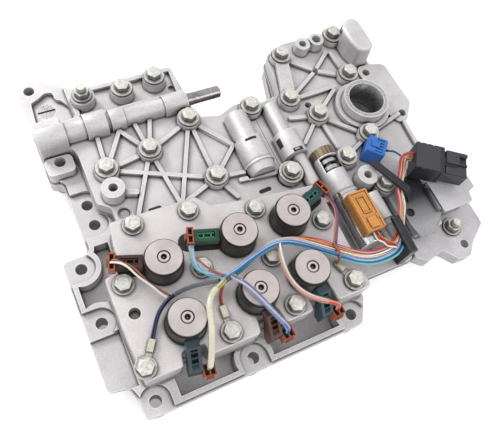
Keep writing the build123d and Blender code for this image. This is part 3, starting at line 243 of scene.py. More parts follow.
def dress(name, material, bevel=0.0):
    """Gives a CAD node its material, with rounded edges where asked."""
    node = nodes[name]
    node.data.materials.clear()
    node.data.materials.append(material)
    if bevel:
        weld = node.modifiers.new("weld", "WELD")
        weld.merge_threshold = 0.00001
        round_edges(node, bevel)


# In the materials below, the darkening of corners and walls is painted shade, and lighter edges are rubbed
# wear and painted highlight
CAST = {
    "roughness": 0.47,
    "grain": 1400.0,
    "bump": 0.9,
    "depth": 0.0002,
    "corner_shade": 1.0,
    "edge_rub_and_highlight": 0.7,
    "wall_shade": 0.28,
}
PALE_CAST, MID_CAST, DULL_CAST = (0.62, 0.58, 0.585), (0.58, 0.56, 0.57), (0.55, 0.535, 0.55)
CASTING = surface("cast_aluminium", MID_CAST, 0.35, vary=0.12, blotch=45, **CAST).material
UPPER = surface("cast_aluminium_upper", MID_CAST, 0.35, vary=0.14, blotch=70, **CAST).material
PLATE = surface("cast_aluminium_plate", PALE_CAST, 0.30, vary=0.09, blotch=90, **CAST).material
CORNER = surface("cast_aluminium_corner", DULL_CAST, 0.35, vary=0.14, blotch=60, **CAST).material
SHEET = surface("sheet_steel", (0.36, 0.35, 0.35), 0.85, 0.40, vary=0.15, blotch=120).material
GROUND = surface(
    "ground_steel", (0.46, 0.455, 0.46), 0.85, 0.30, vary=0.14, blotch=140, grain=900, bump=0.1, corner_shade=0.9,
    reach=0.004, wall_shade=0.5,
).material
# The shaft's strong dark blotches are painted reflection of dark surroundings
SHAFT = surface(
    "valve_shaft", (0.30, 0.28, 0.285), 0.85, 0.24, vary=0.45, blotch=190, grain=700, bump=0.15, corner_shade=0.9,
    reach=0.004, wall_shade=0.7,
).material
POLISHED = surface(
    "polished_can", (0.58, 0.58, 0.59), 0.97, 0.15, vary=0.05, blotch=90, grain=900, bump=0.03, corner_shade=0.9,
    reach=0.003,
).material
SPRING = surface("spring_wire", (0.22, 0.21, 0.20), 0.9, 0.35).material
BRONZE = surface("toothed_sleeve", (0.26, 0.20, 0.14), 0.7, 0.42, vary=0.25, blotch=200).material
# The coated bracket darkens towards the connector behind it: painted shadow of the connector
DARK = surface(
    "coated_sheet", (0.34, 0.335, 0.35), 0.55, 0.40, vary=0.12, corner_shade=0.8, reach=0.004,
    shadow_gradient=(1, -0.094, -0.070, (0.035, 0.035, 0.042)),
).material
BLACK = surface("black_moulding", (0.012, 0.012, 0.015), 0.0, 0.40, vary=0.2, bump=0.15).material
GREY_TOP = surface("grey_connector_top", (0.030, 0.030, 0.038), 0.0, 0.45, vary=0.15, bump=0.15).material
BLUE = surface(
    "blue_moulding", (0.020, 0.13, 0.44), 0.0, 0.34, vary=0.16, bump=0.12, corner_shade=0.9, reach=0.002,
).material
ORANGE = surface(
    "orange_moulding", (0.56, 0.24, 0.055), 0.0, 0.40, vary=0.16, blotch=150, bump=0.15, corner_shade=1.0,
    reach=0.0024, wall_shade=0.5,
).material
RUST_ORANGE = surface(
    "plug_moulding", (0.33, 0.082, 0.034), 0.0, 0.42, vary=0.25, blotch=240, bump=0.15, corner_shade=0.9,
    reach=0.0022,
).material
# Near black laid into plug cells, slots and holes: painted shade
SHADE_BLACK = surface("painted_shade_black", (0.010, 0.008, 0.008), 0.0, 0.6, vary=0.2).material
GREY_MOULDING = surface("grey_moulding", (0.30, 0.31, 0.32), 0.1, 0.45, vary=0.1).material
TIN = surface(
    "tinned_metal", (0.60, 0.57, 0.47), 0.55, 0.36, vary=0.14, blotch=300, grain=1200, corner_shade=0.9,
    reach=0.003,
).material
PLATING = surface(
    "zinc_plating", (0.64, 0.64, 0.59), 0.55, 0.38, vary=0.26, blotch=420, grain=1500, bump=0.3, corner_shade=1.0,
    reach=0.005, wall_shade=0.85,
).material


DISC_R = 0.0125
DISC_SIDE = 0.0026
EDGE_BLUR = 0.00002
TURNING_PITCH = 0.00045
# Brightness by share of the disc's radius: pin, recess, land, groove, face; the near-black recess and
# groove are painted shade
DISC_LEVELS = [
    (0.0, 0.7),
    (0.05, 0.03),
    (0.15, 0.03),
    (0.18, 1.05),
    (0.285, 1.05),
    (0.30, 0.03),
    (0.345, 0.03),
    (0.37, 1.0),
    (0.95, 1.0),
]
DISC_RINGS = [(share, (level, level, level)) for share, level in DISC_LEVELS]
# A dark ring of painted shade at the disc's rim
DISC_RINGS.append((0.985, (0.10, 0.09, 0.09)))


def solenoid_material(name):
    """Dark can below, pale turned disc above, with turning rings about the can's own axis."""
    graph = Graph(name + "_can_and_disc")
    shader = graph.shader
    centre = middle(name)
    apart = graph.add("ShaderNodeSeparateXYZ")
    moved = graph.add("ShaderNodeVectorMath", "SUBTRACT")
    moved.inputs[1].default_value = (centre.x, centre.y, 0.0)
    graph.link(graph.place, "Object", moved, 0)
    graph.link(moved, 0, apart, 0)
    flat = graph.add("ShaderNodeCombineXYZ")
    graph.link(apart, 0, flat, 0)
    graph.link(apart, 1, flat, 1)
    radius = graph.add("ShaderNodeVectorMath", "LENGTH")
    graph.link(flat, 0, radius, 0)
    rings = graph.add("ShaderNodeMath", "SINE")
    turns = graph.add("ShaderNodeMath", "MULTIPLY")
    turns.inputs[1].default_value = 2 * math.pi / TURNING_PITCH
    graph.link(radius, "Value", turns, 0)
    graph.link(turns, 0, rings, 0)
    foot = DISC_TOP - DISC_SIDE
    above = graph.span(apart, 2, foot - EDGE_BLUR, foot + EDGE_BLUR, 0.0, 1.0)
    broad = graph.noise(120, 3.0)
    plain = graph.ramp(broad, 0, [(0.25, (0.48, 0.43, 0.42)), (0.75, (0.60, 0.54, 0.53))])
    share = graph.span(radius, "Value", 0.0, DISC_R, 0.0, 1.0)
    rings_shown = graph.ramp(share, 0, DISC_RINGS)
    disc = graph.mix("MULTIPLY", 1.0, (plain, 0), (rings_shown, 0))
    can = graph.ramp(broad, 0, [(0.25, (0.016, 0.015, 0.015)), (0.75, (0.045, 0.040, 0.040))])
    colour = graph.mix("MIX", (above, 0), (can, 0), disc)
    graph.feed(colour, shader, "Base Color")
    metal = graph.span(above, 0, 0, 1, 0.35, 0.75)
    graph.link(metal, 0, shader, "Metallic")
    rough = graph.span(above, 0, 0, 1, 0.36, 0.33)
    graph.link(rough, 0, shader, "Roughness")
    height = graph.add("ShaderNodeMath", "MULTIPLY")
    graph.link(rings, 0, height, 0)
    graph.link(above, 0, height, 1)
    graph.bump(height, 0, 0.25, 0.00008)
    return graph.material


ARM_COLOURS = [
    (0.045, 0.014, 0.013),
    (0.006, 0.050, 0.024),
    (0.010, 0.036, 0.052),
    (0.016, 0.040, 0.050),
    (0.060, 0.019, 0.011),
    (0.013, 0.040, 0.050),
]

dress("main_casting", CASTING, 0.5)
dress("upper_casting", UPPER, 0.5)
dress("intake_casting", UPPER, 0.5)
dress("corner_casting", CORNER, 0.5)
dress("accumulator_cap", UPPER, 0.3)
dress("solenoid_plate", PLATE)
dress("separator_plate", SHEET)
dress("bracket", DARK, 0.2)
dress("main_connector", BLACK, 0.25)
dress("guide_bar", BLACK, 0.25)
dress("sensor_connector", BLUE, 0.2)
dress("pressure_connector", ORANGE, 0.2)
dress("pressure_switch", GREY_MOULDING)
dress("pressure_solenoid", POLISHED)
dress("regulator_adjuster", BRONZE)
dress("manual_valve", SHAFT)
for turned in ("accumulator_piston", "relief_valve", "regulator_spool"):
    dress(turned, GROUND)
for stopper in ("bore_plugs", "slotted_plug", "cup_plug"):
    dress(stopper, GROUND)
for spring in ("accumulator_spring", "relief_spring", "regulator_spring"):
    dress(spring, SPRING)
for fastener in ("plate_bolts", "casting_bolts", "stud_bolts", "large_washer"):
    dress(fastener, PLATING, 0.25)
dress("ring_terminals", TIN, 0.3)
ARM_MOULDINGS = []
for number, name in enumerate(SOLENOIDS):
    dress(name, solenoid_material(name), 0.25)
    shade = ARM_COLOURS[number]
    moulding = surface("arm_moulding_%d" % (number + 1), shade, 0.0, 0.36, vary=0.3, bump=0.15).material
    ARM_MOULDINGS.append(moulding)
    dress("solenoid_arm_%d" % (number + 1), moulding, 0.3)
    dress("solenoid_plug_%d" % (number + 1), RUST_ORANGE, 0.3)


# Harness. The routes repeat the points of the part's source, in millimetres.
ROUTES = {
    "harness_trunk": [
        (-66.0, -80.5, 59.0),
        (-55.5, -78.6, 60.0),
        (-42.0, -73.8, 61.0),
        (-24.0, -69.3, 61.5),
        (-11.6, -69.6, 61.5),
        (1.0, -76.5, 61.3),
        (13.4, -86.2, 61.0),
        (22.7, -93.6, 60.4),
        (32.0, -100.0, 58.5),
        (42.6, -103.8, 56.5),
        (52.5, -104.6, 56.0),
        (60.5, -104.0, 55.6),
        (67.5, -101.0, 53.8),
        (73.5, -96.8, 51.6),
        (78.6, -90.2, 51.1),
        (84.0, -81.4, 51.1),
        (89.4, -74.6, 51.4),
        (92.4, -67.1, 51.4),
        (95.4, -59.9, 51.4),
        (99.5, -53.5, 52.8),
        (102.8, -47.5, 56.5),
        (104.4, -42.6, 60.4),
        (108.4, -42.0, 62.0),
        (113.2, -45.4, 62.0),
    ],
    "ground_lead_left": [
        (-65.0, -80.3, 59.1),
        (-76.0, -77.3, 58.2),
        (-89.0, -75.4, 57.2),
        (-101.0, -76.8, 56.2),
        (-110.3, -82.5, 54.8),
        (-116.0, -90.6, 53.0),
        (-121.0, -98.5, 52.2),
    ],
    "ground_lead_centre": [
        (-70.6, -95.4, 52.2),
        (-70.3, -90.6, 52.9),
        (-68.6, -86.4, 55.6),
        (-64.5, -81.2, 58.6),
    ],
    "ground_lead_right": [
        (17.3, -96.6, 52.2),
        (16.4, -93.3, 52.9),
        (16.0, -90.6, 55.5),
        (16.6, -89.4, 59.0),
    ],
    "solenoid_lead_1": [
        (-127.6, -42.7, 62.5),
        (-127.0, -43.6, 66.6),
        (-123.4, -46.8, 68.6),
        (-118.6, -51.4, 66.4),
        (-114.3, -57.4, 62.4),
        (-110.0, -64.6, 58.8),
        (-105.4, -71.6, 57.2),
        (-101.2, -76.6, 56.2),
    ],
    "solenoid_lead_2": [
        (-74.9, -48.7, 59.0),
        (-76.6, -54.2, 59.8),
        (-77.8, -60.4, 60.6),
        (-77.0, -66.8, 60.6),
        (-72.8, -72.2, 60.0),
        (-66.6, -75.6, 59.6),
        (-60.6, -79.4, 59.6),
    ],
    "solenoid_lead_3": [
        (33.2, -46.9, 59.0),
        (34.9, -52.4, 59.6),
        (35.0, -60.4, 60.8),
        (31.4, -69.0, 61.6),
        (25.6, -77.6, 61.8),
        (20.4, -85.4, 61.6),
        (17.6, -90.6, 60.8),
    ],
    "solenoid_lead_4": [
        (-92.9, -127.6, 43.8),
        (-92.9, -127.4, 49.0),
        (-91.8, -124.6, 56.6),
        (-89.0, -117.4, 65.0),
        (-84.8, -105.6, 71.0),
        (-82.2, -94.4, 71.4),
        (-76.6, -87.6, 69.6),
        (-70.4, -84.8, 66.6),
        (-62.8, -80.6, 60.6),
    ],
    "solenoid_lead_5": [
        (-34.7, -126.2, 43.8),
        (-34.8, -125.6, 49.0),
        (-36.8, -123.4, 55.4),
        (-41.2, -118.4, 62.6),
        (-46.0, -111.6, 69.2),
        (-50.4, -101.4, 72.6),
        (-55.4, -90.0, 73.2),
        (-58.4, -84.0, 68.0),
        (-57.8, -79.4, 60.6),
    ],
    "solenoid_lead_6": [
        (5.5, -125.8, 43.8),
        (5.4, -125.4, 49.0),
        (3.2, -123.8, 55.6),
        (-3.4, -120.9, 60.8),
        (-11.6, -116.4, 62.4),
        (-18.4, -108.8, 61.4),
        (-22.2, -98.8, 61.0),
        (-22.4, -87.8, 61.2),
        (-20.4, -77.4, 62.0),
        (-17.4, -69.8, 61.6),
    ],
    "pressure_lead": [
        (54.5, -86.0, 57.0),
        (54.7, -91.4, 57.2),
        (56.6, -96.6, 58.2),
        (60.2, -100.4, 58.4),
        (64.4, -102.2, 57.0),
    ],
    "sensor_lead": [
        (100.0, -27.0, 52.0),
        (103.6, -29.5, 54.6),
        (105.2, -34.0, 58.6),
        (105.6, -40.6, 61.4),
    ],
}

INSULATION = {
    "navy": (0.012, 0.020, 0.075),
    "blue": (0.030, 0.12, 0.42),
    "light_blue": (0.22, 0.45, 0.68),
    "teal": (0.10, 0.42, 0.40),
    "lilac": (0.42, 0.40, 0.62),
    "purple": (0.14, 0.035, 0.16),
    "pink": (0.62, 0.26, 0.30),
    "salmon": (0.62, 0.20, 0.10),
    "orange": (0.66, 0.24, 0.05),
    "red": (0.48, 0.035, 0.020),
    "brown": (0.14, 0.045, 0.020),
    "russet": (0.30, 0.095, 0.055),
    "cream": (0.66, 0.60, 0.42),
    "white": (0.74, 0.72, 0.68),
    "yellow_green": (0.48, 0.50, 0.14),
    "black": (0.012, 0.012, 0.014),
}


def wire_colours(kind, corner_shade):
    """One material for each colour of insulation, darkened with painted shade where the wires meet."""
    look = {"vary": 0.10, "blotch": 300, "grain": 2600, "bump": 0.1, "corner_shade": corner_shade, "reach": 0.0022}
    return {
        name: surface(kind + name, colour, 0.0, 0.34, **look).material
        for name, colour in INSULATION.items()
    }


WIRE = wire_colours("wire_", 1.0)
SLEEVED_WIRE = wire_colours("sleeved_wire_", 0.0)


def sleeve_material(name, colour, cover):
    """Clear or cloudy tubing: thin plastic that shows what runs inside it."""
    graph = surface(name, colour, 0.0, 0.22, vary=0.08, blotch=260, grain=1500, bump=0.12)
    graph.shader.inputs["Alpha"].default_value = cover
    graph.shader.inputs["Coat Weight"].default_value = 0.6
    return graph.material


CLEAR = sleeve_material("clear_sleeve", (0.80, 0.82, 0.86), 0.15)
CREAM = sleeve_material("cream_sleeve", (0.70, 0.66, 0.50), 0.82)


def smooth_path(points):
    """Points along the smooth line that the route's points control, in metres."""
    curve = bpy.data.curves.new("route", "CURVE")
    curve.dimensions = "3D"
    spline = curve.splines.new("NURBS")
    spline.points.add(len(points) - 1)
    for point, place in zip(spline.points, points):
        point.co = (*(value * MM for value in place), 1.0)
    spline.order_u = 3
    spline.use_endpoint_u = True
    curve.resolution_u = 8
    holder = bpy.data.objects.new("route", curve)
    mesh = bpy.data.meshes.new_from_object(holder)
    line = [vertex.co.copy() for vertex in mesh.vertices]
    bpy.data.objects.remove(holder)
    bpy.data.curves.remove(curve)
    bpy.data.meshes.remove(mesh)
    return line


def frames_along(line):
    """Two side directions at each point, carried along without twist."""
    side = None
    frames = []
    for index, point in enumerate(line):
        after = line[min(index + 1, len(line) - 1)]
        before = line[max(index - 1, 0)]
        ahead = (after - before).normalized()
        if side is None:
            side = ahead.cross(Vector((0, 0, 1))).normalized()
        side = (side - ahead * side.dot(ahead)).normalized()
        frames.append((side, side.cross(ahead)))
    return frames


def local(origin, angle, forward, sideways, level):
    """A point in metres, from distances along and across a direction and a level in millimetres."""
    ahead = math.radians(angle)
    x = origin[0] + forward * math.cos(ahead) - sideways * math.sin(ahead)
    y = origin[1] + forward * math.sin(ahead) + sideways * math.cos(ahead)
    return Vector((x, y, level)) * MM


class Builder:
    """Collects the faces of one mesh, each with the index of its material."""

    def __init__(self):
        self.vertices = []
        self.faces = []
        self.indices = []
        self.materials = []

    def slot_of(self, material):
        if material not in self.materials:
            self.materials.append(material)
        return self.materials.index(material)

    def tube(self, line, radii, material, sides=10):
        """A round tube through the given points, closed at its ends."""
        slot = self.slot_of(material)
        base = len(self.vertices)
        frames = frames_along(line)
        for point, (side, up), radius in zip(line, frames, radii):
            for step in range(sides):
                angle = 2 * math.pi * step / sides
                self.vertices.append(point + (side * math.cos(angle) + up * math.sin(angle)) * radius)
        for ring in range(len(line) - 1):
            for step in range(sides):
                following = (step + 1) % sides
                first = base + ring * sides
                second = first + sides
                self.faces.append((first + step, first + following, second + following, second + step))
                self.indices.append(slot)
        self.faces.append(tuple(base + step for step in reversed(range(sides))))
        last = base + (len(line) - 1) * sides
        self.faces.append(tuple(last + step for step in range(sides)))
        self.indices += [slot, slot]

    def block(self, origin, angle, forward, sideways, height, material):
        """A box given by its ranges along a direction, across it and above, in millimetres."""
        slot = self.slot_of(material)
        base = len(self.vertices)
        for corner in itertools.product(forward, sideways, height):
            self.vertices.append(local(origin, angle, *corner))
        for face in ((0, 2, 6, 4), (1, 5, 7, 3), (0, 1, 3, 2), (4, 6, 7, 5), (0, 4, 5, 1), (2, 3, 7, 6)):
            self.faces.append(tuple(base + step for step in face))
            self.indices.append(slot)

    def lathe(self, centre, profile, material, sides=32):
        """A turned shape about an upright axis; its profile gives radius and level, from the rim in."""
        slot = self.slot_of(material)
        base = len(self.vertices)
        for radius, level in profile:
            for step in range(sides):
                angle = math.degrees(2 * math.pi * step / sides)
                self.vertices.append(local(centre, angle, radius, 0.0, level))
        for ring in range(len(profile) - 1):
            for step in range(sides):
                following = (step + 1) % sides
                first = base + ring * sides
                second = first + sides
                self.faces.append((first + step, first + following, second + following, second + step))
                self.indices.append(slot)
        last = base + (len(profile) - 1) * sides
        self.faces.append(tuple(last + step for step in range(sides)))
        self.indices.append(slot)

    def pad(self, centre, angle, length, width, level, material):
        """A thin flat patch with round ends."""
        slot = self.slot_of(material)
        base = len(self.vertices)
        reach = (length - width) / 2
        for step in range(24):
            turn = 2 * math.pi * step / 24
            end = reach if math.cos(turn) >= 0 else -reach
            forward = end + width / 2 * math.cos(turn)
            self.vertices.append(local(centre, angle, forward, width / 2 * math.sin(turn), level))
        self.faces.append(tuple(base + step for step in range(24)))
        self.indices.append(slot)

    def saddle(self, axis, radius, angles, span, material):
        """A thin patch wrapped over a cylinder along Y; angles are in degrees from the top."""
        slot = self.slot_of(material)
        base = len(self.vertices)
        for step in range(9):
            turn = math.radians(angles[0] + (angles[1] - angles[0]) * step / 8)
            x = axis[0] + radius * math.sin(turn)
            z = axis[1] + radius * math.cos(turn)
            self.vertices += [Vector((x, span[0], z)) * MM, Vector((x, span[1], z)) * MM]
        for step in range(8):
            first = base + 2 * step
            self.faces.append((first, first + 2, first + 3, first + 1))
            self.indices.append(slot)

    def build(self, name, smooth=True):
        mesh = bpy.data.meshes.new(name)
        mesh.from_pydata([tuple(vertex) for vertex in self.vertices], [], self.faces)
        for material in self.materials:
            mesh.materials.append(material)
        for polygon, index in zip(mesh.polygons, self.indices):
            polygon.material_index = index
            polygon.use_smooth = smooth and len(polygon.vertices) == 4
        mesh.update()
        piece = bpy.data.objects.new(name, mesh)
        bpy.context.scene.collection.objects.link(piece)
        return piece


def strand(line, frames, offset, phase, twist):
    """A wire's own line beside the bundle's, winding slowly about it."""
    travelled = 0.0
    path = []
    for index, point in enumerate(line):
        if index:
            travelled += (point - line[index - 1]).length
        angle = phase + twist * travelled
        side, up = frames[index]
        path.append(point + (side * math.cos(angle) + up * math.sin(angle)) * offset)
    return path


def part_of(line, start, end):
    """The stretch of a line between two shares of its points."""
    last = len(line) - 1
    return line[round(start * last) : round(end * last) + 1]


def lay(builder, name, *replaced):
    """Builds a harness piece that rides on the body."""
    piece = builder.build(name)
    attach(piece, BODY)
    if replaced:
        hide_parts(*replaced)


def bundle(name, node, colours, wire_r, spread, twist=40.0, insulation=WIRE):
    """Wires of the given colours along a route; it stands for the plain tube."""
    line = smooth_path(ROUTES[node])
    frames = frames_along(line)
    builder = Builder()
    for index, colour in enumerate(colours):
        phase = 2 * math.pi * index / len(colours)
        path = strand(line, frames, spread * MM, phase, twist)
        builder.tube(path, [wire_r * MM] * len(path), insulation[colour], 8)
    lay(builder, name, node)
    return line


def sleeve(name, line, radius, material):
    """Tubing over a stretch of wires."""
    builder = Builder()
    builder.tube(line, [radius * MM] * len(line), material, 16)
    lay(builder, name)


def eased(share, start, end):
    """0 before start, 1 after end, and a smooth change between them."""
    step = min(1.0, max(0.0, (share - start) / (end - start)))
    return step * step * (3 - 2 * step)


# Shares of a route, from its start, over which a ribbon of wires changes
FLATTEN_SPAN = 0.14
UNDER_BAR = (0.54, 0.62)
LOOP_UP, LOOP_DOWN = (0.76, 0.90), (0.93, 1.0)
FAN_OUT = (0.88, 1.0)

BUNCH_R = 1.9
SWAY, RIPPLE = 0.3, 0.45
TUCK_DEPTH = 1.5


def ribbon(
    name, node, colours, wire_r, pitch, gather=0.0, fan=0.0, loop=0.0, tucked=(), insulation=WIRE,
):
    """Wires side by side along a route: bunched before gather, and spread and looped at the far end.

    Tucked colours slip under the others past the guide bar.
    """
    line = smooth_path(ROUTES[node])
    frames = frames_along(line)
    builder = Builder()
    for index, colour in enumerate(colours):
        lane = index - (len(colours) - 1) / 2
        phase = 2 * math.pi * index / len(colours)
        path = []
        for place, (point, (side, up)) in enumerate(zip(line, frames)):
            share = place / (len(line) - 1)
            flat = eased(share, gather, gather + FLATTEN_SPAN) if gather else 1.0
            spread = pitch * (1 + fan * eased(share, *FAN_OUT))
            across = flat * (lane * spread + SWAY * math.sin(share * 11 + index * 1.9))
            across += (1 - flat) * BUNCH_R * math.cos(phase + 6 * share)
            hump = loop * eased(share, *LOOP_UP) * (1 - eased(share, *LOOP_DOWN)) * (1 + index % 3) / 3
            rise = flat * (RIPPLE * math.sin(share * 15 + index * 2.4) + hump)
            past = eased(share, *UNDER_BAR) if tucked else 0.0
            if colour in tucked:
                across *= 1 - 0.8 * past
                rise -= TUCK_DEPTH * past
            else:
                across += pitch * len(tucked) / 2 * past
            rise -= (1 - flat) * BUNCH_R * math.sin(phase + 6 * share)
            path.append(point + (side * across + up * rise) * MM)
        builder.tube(path, [wire_r * MM] * len(path), insulation[colour], 8)
    lay(builder, name, node)
    return line


def single(name, points, colour, wire_r, *replaced):
    """One wire by itself along points in millimetres."""
    line = smooth_path(points)
    builder = Builder()
    builder.tube(line, [wire_r * MM] * len(line), WIRE[colour], 10)
    lay(builder, name, *replaced)


TRUNK = ["red", "pink", "orange", "white", "cream", "lilac", "light_blue", "blue", "teal"]
COLD = ("lilac", "light_blue", "blue", "teal")
ribbon("trunk_wires", "harness_trunk", TRUNK, 0.76, 1.14, gather=0.10, fan=0.4, loop=3.0, tucked=COLD)
LEFT_GROUND = ["navy", "black", "navy"]
ground_line = bundle(
    "left_ground_wires", "ground_lead_left", LEFT_GROUND, 0.72, 0.86, insulation=SLEEVED_WIRE
)
sleeve("left_ground_sleeve", part_of(ground_line, 0.02, 0.45), 1.75, CLEAR)
bundle("centre_ground_wires", "ground_lead_centre", ["red", "brown"], 0.62, 0.62)
ribbon("first_solenoid_wires", "solenoid_lead_1", ["russet", "white"], 0.78, 1.5)
SECOND = ["light_blue", "lilac", "teal"]
second_line = ribbon(
    "second_solenoid_wires", "solenoid_lead_2", SECOND, 0.72, 1.25, insulation=SLEEVED_WIRE
)
sleeve("second_sleeve", part_of(second_line, 0.03, 0.42), 2.15, CLEAR)
RED_BRANCH = [
    (-75.6, -59.6, 61.4),
    (-73.6, -64.6, 61.8),
    (-70.4, -70.6, 61.8),
    (-65.4, -76.0, 61.4),
    (-61.0, -79.4, 61.0),
]
single("red_branch_wire", RED_BRANCH, "russet", 0.8)
bundle("third_solenoid_wire", "solenoid_lead_3", ["purple"], 0.82, 0.5, 20.0)
# The right ground wire follows the third solenoid's lead and crosses the trunk to its terminal
RIGHT_GROUND = [(x - 2.2, y, z + 0.4) for x, y, z in ROUTES["solenoid_lead_3"][:-1]]
RIGHT_GROUND += [(17.6, -87.6, 64.2), (18.4, -92.6, 64.2), (17.6, -96.0, 62.0)]
RIGHT_GROUND += [(17.0, -97.4, 56.0), (17.3, -96.8, 52.2)]
single("right_ground_wire", RIGHT_GROUND, "russet", 0.85, "ground_lead_right")
FOURTH = ["cream", "yellow_green"]
fourth_line = bundle(
    "fourth_solenoid_wires", "solenoid_lead_4", FOURTH, 0.85, 0.86, insulation=SLEEVED_WIRE
)
sleeve("fourth_sleeve", part_of(fourth_line, 0.10, 0.88), 2.15, CREAM)
FIFTH = ["lilac", "blue", "light_blue", "navy"]
fifth_line = bundle("fifth_solenoid_wires", "solenoid_lead_5", FIFTH, 0.72, 1.0, insulation=SLEEVED_WIRE)
sleeve("fifth_sleeve", part_of(fifth_line, 0.30, 0.98), 2.18, CLEAR)
SIXTH = ["salmon", "red", "white"]
sixth_line = bundle("sixth_solenoid_wires", "solenoid_lead_6", SIXTH, 0.78, 0.9, insulation=SLEEVED_WIRE)
sleeve("sixth_sleeve", part_of(sixth_line, 0.34, 0.94), 2.18, CLEAR)
ribbon("pressure_wires", "pressure_lead", ["orange", "red", "red", "white"], 0.66, 1.15)
bundle("sensor_wires", "sensor_lead", ["black", "light_blue"], 0.62, 0.64)


# Small mouldings and fastener details
def detail(builder, name, slot, replaced=(), bevel=0.0, smooth=False):
    """Builds a rigid detail piece that rides on the body."""
    piece = builder.build(name, smooth)
    if bevel:
        round_edges(piece, bevel)
    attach(piece, BODY)
    if replaced:
        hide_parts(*replaced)


# Direction of each solenoid's arm; those from the fourth on hang over the edge, with their plugs lower
ARM_ANGLES = [161.0, 163.0, 20.0, 261.0, 274.0, 276.0]
FIRST_DROPPED = 3
ARM_TOP = DISC_TOP / MM - 6.5
PLUG_WALL = 0.9
CELL_DEPTH = 3.4
LATCH_HALF = 2.0


def plug(number):
    """A harness plug: two open cells in a thin frame, with a ribbed latch on its outer side."""
    name = SOLENOIDS[number]
    centre = middle(name) / MM
    angle = ARM_ANGLES[number]
    low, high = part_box("solenoid_plug_%d" % (number + 1))
    bottom, top = low.z / MM, high.z / MM
    dropped = number >= FIRST_DROPPED
    near, far = (26.75, 35.25) if dropped else (31.0, 35.5)
    start, end = (4.5, 13.0) if dropped else (-6.0, 6.0)
    inner = (start + PLUG_WALL, end - PLUG_WALL)
    cell_floor = top - CELL_DEPTH
    between_cells = (start + end) / 2
    builder = Builder()

    def add(forward, sideways, height, material=RUST_ORANGE):
        builder.block(centre, angle, forward, sideways, height, material)

    add((near, far), (start, end), (bottom, cell_floor))
    # The cells' black floors are painted shade
    add((near + PLUG_WALL, far - PLUG_WALL), inner, (cell_floor, cell_floor + 0.1), SHADE_BLACK)
    centre_wall = (between_cells - 0.5, between_cells + 0.5)
    for sideways in ((start, start + PLUG_WALL), (end - PLUG_WALL, end), centre_wall):
        add((near, far), sideways, (cell_floor, top))
    for forward in ((near, near + PLUG_WALL), (far - PLUG_WALL, far)):
        add(forward, inner, (cell_floor, top - 0.4))
    latch = (between_cells - LATCH_HALF, between_cells + LATCH_HALF)
    add((far, far + 1.0), latch, (bottom + 1.0, top - 1.2))
    for step in range(3):
        level = top - 2.2 - 1.7 * step
        add((far + 1.0, far + 1.6), latch, (level - 0.8, level))
    replaced = ("solenoid_plug_%d" % (number + 1),)
    detail(builder, "plug_detail_%d" % (number + 1), "orange_plastic", replaced, 0.15)


def arm_ribs(number):
    """Cross ribs in the channel of a solenoid's moulded arm, with two rails on the first three."""
    centre = middle(SOLENOIDS[number]) / MM
    builder = Builder()
    channel = (-2.4, 2.4)
    if number >= FIRST_DROPPED:
        for step in range(3):
            forward = 20.2 + 3.0 * step
            level = ARM_TOP - 3.2 - 3.8 * step
            ranges = ((forward, forward + 0.9), channel, (level - 3.0, level))
            builder.block(centre, ARM_ANGLES[number], *ranges, ARM_MOULDINGS[number])
    else:
        material = GREEN_RIB_HIGHLIGHT if number else ARM_MOULDINGS[0]
        height = (ARM_TOP - 4.1, ARM_TOP - 0.8)
        rails = [((16.8, 28.4), (-2.0, -1.2), height), ((16.8, 28.4), (1.2, 2.0), height)]
        rails += [((forward, forward + 0.8), channel, height) for forward in (18.6, 23.6, 27.6)]
        for ranges in rails:
            builder.block(centre, ARM_ANGLES[number], *ranges, material)
    detail(builder, "arm_ribs_%d" % (number + 1), "arm_plastic", bevel=0.12)


# A lighter green than the arms: painted highlight on the ribs' tops
GREEN_RIB_HIGHLIGHT = surface("rib_highlight_green", (0.05, 0.20, 0.12), 0.0, 0.4, vary=0.2, bump=0.12).material
for number in range(len(SOLENOIDS)):
    plug(number)
    arm_ribs(number)


def solids_of(name):
    """Centre and top, in millimetres, of each separate solid in a CAD node."""
    shape = bmesh.new()
    shape.from_mesh(nodes[name].data)
    shape.transform(nodes[name].matrix_world)
    bmesh.ops.remove_doubles(shape, verts=shape.verts, dist=0.00001)
    unseen = set(shape.verts)
    found = []
    while unseen:
        waiting = [unseen.pop()]
        group = list(waiting)
        while waiting:
            vertex = waiting.pop()
            for edge in vertex.link_edges:
                other = edge.other_vert(vertex)
                if other in unseen:
                    unseen.discard(other)
                    waiting.append(other)
                    group.append(other)
        xs, ys, zs = ([vertex.co[axis] / MM for vertex in group] for axis in range(3))
        found.append(((min(xs) + max(xs)) / 2, (min(ys) + max(ys)) / 2, max(zs)))
    shape.free()
    return found


# Radius and height of a bolt's crown above its head, from the rim inwards
CROWN = [(4.55, -0.25), (4.4, 0.02), (3.6, 0.16), (2.4, 0.10), (1.2, 0.02)]
# The same for one thread crest, above its own foot
CREST = [(3.02, 0.0), (3.16, 0.25), (3.16, 0.4), (3.02, 0.65)]
THREAD_DEPTH = 4.4
THREAD_PITCH = 0.8


def bolt_crowns():
    """The slightly domed tops of the bolt heads."""
    builder = Builder()
    for x, y, top in solids_of("plate_bolts") + solids_of("casting_bolts"):
        builder.lathe((x, y), [(radius, top + rise) for radius, rise in CROWN], PLATING)
    detail(builder, "bolt_crowns", "plated_steel", smooth=True)


def stud_threads():
    """Thread crests on the two stud ends."""
    builder = Builder()
    for x, y, top in solids_of("stud_bolts"):
        crests = []
        for step in range(5):
            level = top - THREAD_DEPTH + THREAD_PITCH * step
            crests += [(radius, level + rise) for radius, rise in CREST]
        crests += [(2.6, top + 0.03), (1.2, top + 0.03)]
        builder.lathe((x, y), crests, PLATING)
    detail(builder, "stud_threads", "plated_steel")


bolt_crowns()
stud_threads()


